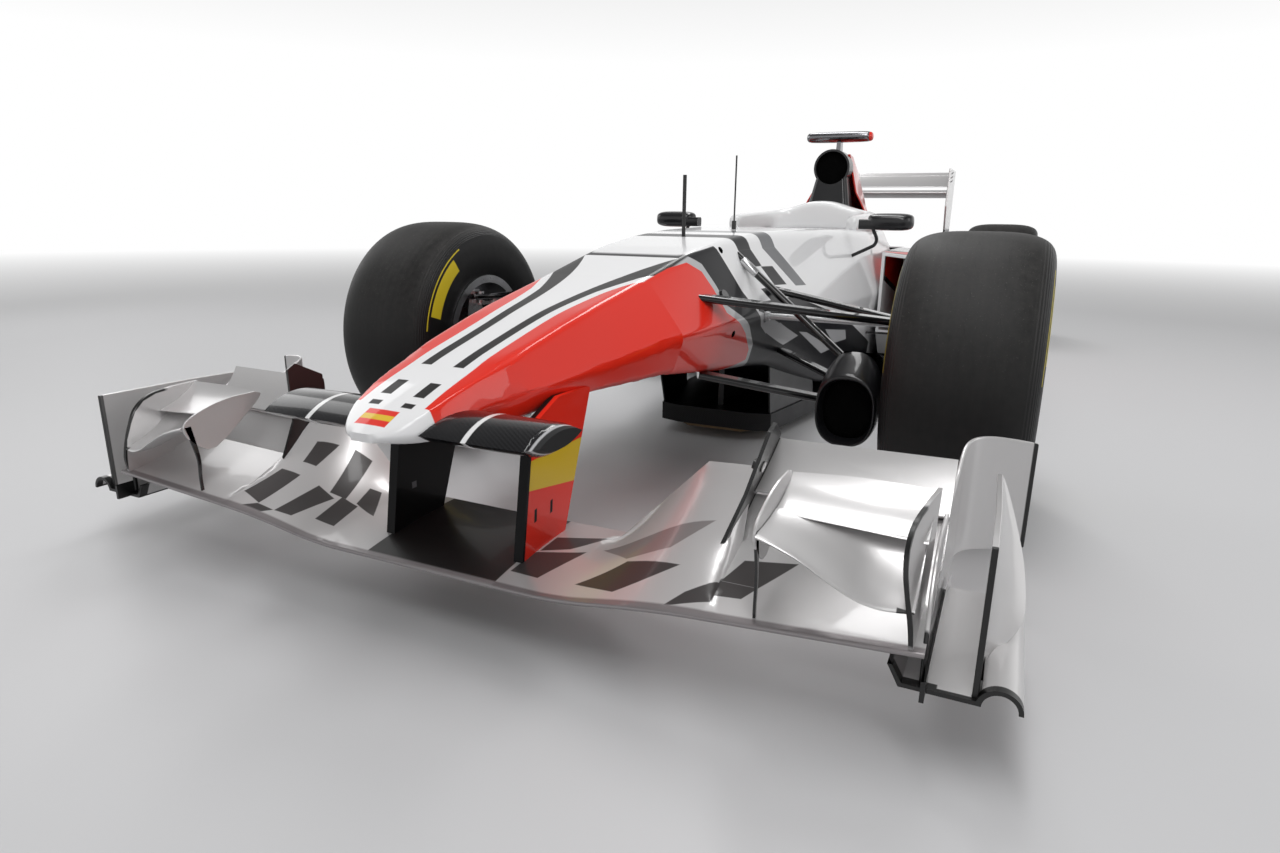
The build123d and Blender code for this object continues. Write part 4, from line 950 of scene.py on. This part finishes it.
def cast_skin(place):
    colour = place.noise(50, 3.0).over((0.14, 0.14, 0.145, 1), (0.22, 0.22, 0.225, 1))
    return {"Base Color": colour, "Normal": place.noise(260, 3.0).bump(0.4, 0.001)}


def heated(place):
    tint = place.noise(18, 3.0)
    return {"Base Color": tint.over((0.30, 0.22, 0.15, 1), (0.36, 0.33, 0.36, 1)),
            "Roughness": tint * 0.3 + 0.2}


cast_metal = surface("cast_metal", {"Metallic": 0.7, "Roughness": 0.55}, cast_skin)
skin("engine", cast_metal)
cover_look = surface("cover_paint", gloss, cover_paint)
skin("engine_cover", cover_look, crease=40, filled=(24, 12), blend=30)
skin("roll_hoop_intake", carbon)
# A dark plug inside the intake ring, painted shade for its unlit inside
intake_plug = [ring((0, station, 904), 71, 71, 2) for station in (1838, 1880)]
loft("intake_throat", intake_plug, painted_shade_black, levels=0)
bar_metal = surface("bar_metal", {"Coat Weight": 0.3}, bar_paint)
stem_top = 1030


def keep_stem(mesh):
    """Leaves the stem that the camera bar stands on, below the bar itself."""
    cut_away(mesh, ((0, 0, stem_top * mm), (0, 0, 1)))


skin("camera_bar", bar_metal, trim=keep_stem)

# Camera bar, along its width in mm: place across, half length front to back, half height
bar = [(-152, 10, 4), (-149, 26, 16), (-140, 36, 23), (-60, 40, 24), (60, 40, 24), (140, 36, 23),
       (149, 26, 16), (152, 10, 4)]
bar_middle = (1947, 1047)
bar_rings = [ring((place, *bar_middle), half_long, half_high, 2.2, across=(0, 1, 0))
             for place, half_long, half_high in bar]
loft("camera_bar_body", bar_rings, bar_metal, crease=80)
skin("exhausts", surface("heated_pipe", {"Metallic": 1.0}, heated))

# Gearbox and rear suspension. The cast gearbox is bolted to the engine and carries the rear
# wishbones, pushrods and driveshafts, and the impact structure behind them.
skin("gearbox", dull_carbon)
skin("rear_suspension_arms", gloss_black)
skin("rear_uprights", bright_metal)
for hand in ("left", "right"):
    skin(f"rear_{hand}_driveshaft", bright_metal)


# Rear wing. Tall end plates hold a main plane and a flap that tilts on pins, with a beam wing
# below. All are hollow carbon, silver above and bare below. A red light sits on the tail.
def rear_plate_paint(place):
    x, y, z = place.parts()
    base = pearl_paint(place)
    low = ~z.past(0.62, 0.003)
    colour = low.over(base["Base Color"], charcoal)
    inner = ~abs(x).past(0.3665, 0.0005)
    colour = inner.over(colour, (0.02, 0.02, 0.022, 1))
    return {**base, "Base Color": colour, "Metallic": ~(low | inner) * flake_share}


def lens_grid(place):
    x, y, z = place.parts()
    cells = (x * 520).of("SINE") * (z * 520).of("SINE")
    colour = cells.past(0, 0.8).over((0.30, 0.008, 0.008, 1), (0.72, 0.02, 0.02, 1))
    return {"Base Color": colour, "Normal": cells.bump(0.5, 0.002)}


skin("rear_wing_endplates", surface("rear_plate_paint", flap_look, rear_plate_paint))
skin("rear_wing_main_plane", pearl_silver)
skin("rear_wing_flap", pearl_silver)
skin("rear_beam_wing", carbon)
skin("rain_light", surface("red_lens", {"Roughness": 0.12, "Coat Weight": 1.0}, lens_grid))

# Wheels and tyres. The rims are forged and machined, with ten spokes and one nut. Slick tyres,
# moulded round and worn dusty, are smooth but for small wear holes and rings at the shoulder.
def machined(place):
    return {"Base Color": place.noise(30, 3.0).over((0.26, 0.26, 0.27, 1), (0.36, 0.36, 0.37, 1)),
            "Roughness": place.noise(90, 2.0) * 0.2 + 0.22}


rim_look = surface("rim_metal", {"Metallic": 1.0}, machined)
tyre_radius = (front_tyre_high.z - front_tyre_low.z) / 2
tyre_wall_radius = tyre_radius - 80 * mm
bead_radius = 176 * mm
crown_power = 3.4


def rubber(axle_y, middle_x):
    """Dusty tread with painted sheen on top, wear holes, ringed shoulders and plain yellow arcs on the walls.
    """

    def paint(place):
        x, y, z = place.parts()
        across = abs(x) - middle_x
        up, back = z - tyre_radius, y - axle_y
        radius = (up * up + back * back).of("SQRT")
        angle = back.of("ARCTAN2", up)
        wall = ~radius.past(tyre_radius - 0.022, 0.012)
        scuff = place.noise(55, 5.0, 0.65)
        speck = place.noise(330, 2.0)
        streak = across.spot(angle * 0.02).noise(90, 3.0)
        dust_and_sheen = (scuff.past(0.5, 0.4) * 0.5 + streak * 0.5) * ~wall
        # The dust and the specks grow towards the top: a painted sheen where the lamps above light the tread
        upper = up.past(0.16, 0.30)
        dust_and_sheen = dust_and_sheen * (upper * 0.75 + 0.25)
        colour = dust_and_sheen.over((0.0045, 0.0045, 0.0048, 1), (0.042, 0.040, 0.038, 1))
        colour = (speck.past(0.70, 0.05) * 0.5 * ~wall * upper).over(colour, (0.16, 0.155, 0.145, 1))
        row = (angle * 4 + across * 60).of("FRACT")
        lane = abs((across * 16 + 0.5).of("FRACT") - 0.5)
        hole = (row.between(0.49, 0.51, 0.003) & ~lane.past(0.045, 0.01)) & ~wall
        colour = hole.over(colour, (0.003, 0.003, 0.003, 1))
        arc = abs((angle / math.pi + 0.80).of("FRACT") - 0.5)
        mark = radius.between(tyre_radius - 0.088, tyre_radius - 0.050) & ~arc.past(0.105, 0.002)
        thin = radius.between(tyre_radius - 0.043, tyre_radius - 0.040) & ~arc.past(0.150, 0.002)
        colour = ((mark | thin) & wall).over(colour, (0.62, 0.50, 0.02, 1))
        rings = (radius * 1500).of("SINE")
        band = radius.between(tyre_radius - 0.036, tyre_radius - 0.014, 0.004)
        height = rings * band * 0.6 + scuff * 0.25 - hole
        return {"Base Color": colour, "Roughness": scuff * 0.25 + 0.42 - wall * 0.08,
                "Normal": height.bump(0.5, 0.0012)}

    return paint


def tyre(node, look, body):
    """A slick's section, turned through a full circle about its axle."""
    low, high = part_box(node)
    middle = (low + high) / 2
    half_width = (high.x - low.x) / 2
    section = []
    wall_steps, crown_steps = 8, 20
    for step in range(wall_steps):
        climb = step / wall_steps
        radius = bead_radius + (tyre_wall_radius - bead_radius) * climb
        section.append((half_width - 13 * mm * (1 - climb) ** 2, radius))
    for step in range(crown_steps + 1):
        turn = math.pi / 2 * step / crown_steps
        across = half_width * math.cos(turn) ** (2 / crown_power)
        rise = (tyre_radius - tyre_wall_radius) * math.sin(turn) ** (2 / crown_power)
        section.append((across, tyre_wall_radius + rise))
    outline = section + [(-across, radius) for across, radius in section[-2::-1]]
    mesh = bmesh.new()
    verts = [mesh.verts.new((middle.x + across, middle.y, middle.z + radius)) for across, radius in outline]
    edges = [mesh.edges.new(pair) for pair in zip(verts, verts[1:] + verts[:1])]
    bmesh.ops.spin(mesh, geom=verts + edges, cent=middle, axis=(1, 0, 0), dvec=(0, 0, 0),
                   angle=2 * math.pi, steps=128, use_merge=True, use_duplicate=False)
    bmesh.ops.remove_doubles(mesh, verts=mesh.verts, dist=0.01 * mm)
    bmesh.ops.recalc_face_normals(mesh, faces=mesh.faces)
    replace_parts(piece(node + "_skin", mesh, look, body, crease=50), node)


for end in ("front", "rear"):
    low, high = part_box(f"{end}_left_tyre")
    middle = (low + high) / 2
    look = surface(f"{end}_rubber", {"Specular IOR Level": 0.3}, rubber(middle.y, middle.x))
    for hand in ("left", "right"):
        tyre(f"{end}_{hand}_tyre", look, f"{end}_{hand}_wheel")
        skin(f"{end}_{hand}_wheel", rim_look)

# Mirrors and antennas. Small carbon pods on curved stalks hold flat glass. A thick air-speed
# tube and a thin whip aerial stand on the scuttle ahead of the cockpit.
mirror_glass = surface("mirror_glass", {
    "Base Color": (0.75, 0.77, 0.78, 1), "Metallic": 1.0, "Roughness": 0.03})
skin("mirrors", carbon)
skin("antennas", black_plastic)

# Mirror housing, front to back in mm: station, half width, half height
housing = [(926, 44, 10), (932, 62, 19), (946, 74, 26), (964, 78, 29), (984, 79, 30), (984, 74, 25),
           (974, 72, 24)]
mirror_across, mirror_height, glass_station = 404, 673, 976
glass_size = (142 * mm, 2 * mm, 47 * mm, 1)
for side, hand in ((1, "left"), (-1, "right")):
    rings = [ring((side * mirror_across, station, mirror_height), half_wide, half_high, 4)
             for station, half_wide, half_high in housing]
    loft("mirror_housing_" + hand, rings, carbon, crease=45, cap_end=False)
    glass_middle = (side * mirror_across * mm, front_axle + glass_station * mm, mirror_height * mm)
    mesh = bmesh.new()
    bmesh.ops.create_cube(mesh, size=1, matrix=Matrix.Translation(glass_middle) @ Matrix.Diagonal(glass_size))
    bmesh.ops.bevel(mesh, geom=mesh.edges[:], offset=0.6 * mm, offset_type="OFFSET", affect="EDGES",
                    segments=2, profile=0.5, material=-1)
    piece("mirror_glass_" + hand, mesh, mirror_glass)

# Studio. A pale floor that fades to white, two long soft lamps overhead and one from each side,
# and the camera low in front of the car's left corner.
floor_mesh = bmesh.new()
bmesh.ops.create_circle(floor_mesh, cap_ends=True, segments=96, radius=60)
floor_data = bpy.data.meshes.new("studio_floor")
floor_mesh.to_mesh(floor_data)
floor_mesh.free()
studio_floor = bpy.data.objects.new("studio_floor", floor_data)
bpy.context.scene.collection.objects.link(studio_floor)

floor_look = bpy.data.materials.new("studio_floor")
floor_look.use_nodes = True
floor_tree = floor_look.node_tree
floor_tree.nodes.clear()
ground = Wire(floor_tree, floor_tree.nodes.new("ShaderNodeTexCoord").outputs["Object"])
ground_x, ground_y, ground_z = ground.parts()
reach = (ground_x * ground_x + ground_y * ground_y).of("SQRT")
seen = ground.node("ShaderNodeLightPath", output="Is Camera Ray")
paint_floor = ground.node("ShaderNodeBsdfPrincipled", None,
                          {"Base Color": (0.60, 0.60, 0.61, 1), "Roughness": 0.45})
glow = ground.node("ShaderNodeEmission", None, {"Color": (1, 1, 1, 1), "Strength": 1.0})
fade = reach.past(9.0, 10.0) * seen
mixed = ground.node("ShaderNodeMixShader", None, {0: fade, 1: paint_floor, 2: glow})
ground.node("ShaderNodeOutputMaterial", None, {"Surface": mixed})
floor_data.materials.append(floor_look)

world = bpy.data.worlds.new("studio_light")
bpy.context.scene.world = world
world.use_nodes = True
world.node_tree.nodes.clear()
sky = world.node_tree
path = Wire(sky, sky.nodes.new("ShaderNodeLightPath").outputs["Is Camera Ray"])
glossy = path.node("ShaderNodeLightPath", output="Is Glossy Ray")
through = path.node("ShaderNodeLightPath", output="Is Transmission Ray")
looks = Wire(sky, sky.nodes.new("ShaderNodeTexCoord").outputs["Generated"])
ceiling = looks.parts()[2].past(0.42, 0.50)
strength = (path | glossy | through) * (0.55 - ceiling * 0.80) + 0.45
backdrop = path.node("ShaderNodeBackground", None, {"Color": (1, 1, 1, 1), "Strength": strength})
path.node("ShaderNodeOutputWorld", None, {"Surface": backdrop})

# name, place, point it looks at, width, length, watts
lamps = [("overhead_front", (0.6, -2.6, 3.6), (0, -1.2, 0.3), 0.7, 4.0, 60),
         ("overhead_rear", (-0.4, 1.6, 3.8), (0, 1.0, 0.4), 0.7, 4.0, 55),
         ("side_left", (4.2, -1.0, 2.4), (0, 0, 0.3), 2.0, 3.0, 30),
         ("side_right", (-4.4, -0.6, 2.6), (0, 0, 0.3), 2.0, 3.0, 30)]
for name, spot, aim, width, length, watts in lamps:
    lamp = bpy.data.lights.new(name, "AREA")
    lamp.shape = "RECTANGLE"
    lamp.size, lamp.size_y = width, length
    lamp.energy = watts
    holder = bpy.data.objects.new(name, lamp)
    holder.location = spot
    holder.rotation_euler = (Vector(aim) - Vector(spot)).to_track_quat("-Z", "Y").to_euler()
    bpy.context.scene.collection.objects.link(holder)

focal_pixels, frame_pixels = 785, 1280
camera_place = Vector((0.830, front_axle - 1.953, 0.685))
yaw, pitch, roll = math.radians(-25.28), math.radians(15.05), math.radians(0.68)
ahead = Vector((math.sin(yaw) * math.cos(pitch), math.cos(yaw) * math.cos(pitch), -math.sin(pitch)))
level = Vector((math.cos(yaw), -math.sin(yaw), 0))
upward = level.cross(ahead)
right = level * math.cos(roll) + upward * math.sin(roll)
up = upward * math.cos(roll) - level * math.sin(roll)
camera_data = bpy.data.cameras.new("camera")
camera_data.sensor_fit = "HORIZONTAL"
camera_data.sensor_width = 36
camera_data.lens = focal_pixels / frame_pixels * camera_data.sensor_width
camera_data.clip_start = 0.05
camera_data.clip_end = 200
camera = bpy.data.objects.new("camera", camera_data)
turned = Matrix((right, up, -ahead)).transposed().to_4x4()
camera.matrix_world = Matrix.Translation(camera_place) @ turned
bpy.context.scene.collection.objects.link(camera)
bpy.context.scene.camera = camera
bpy.context.scene.view_settings.view_transform = "Standard"
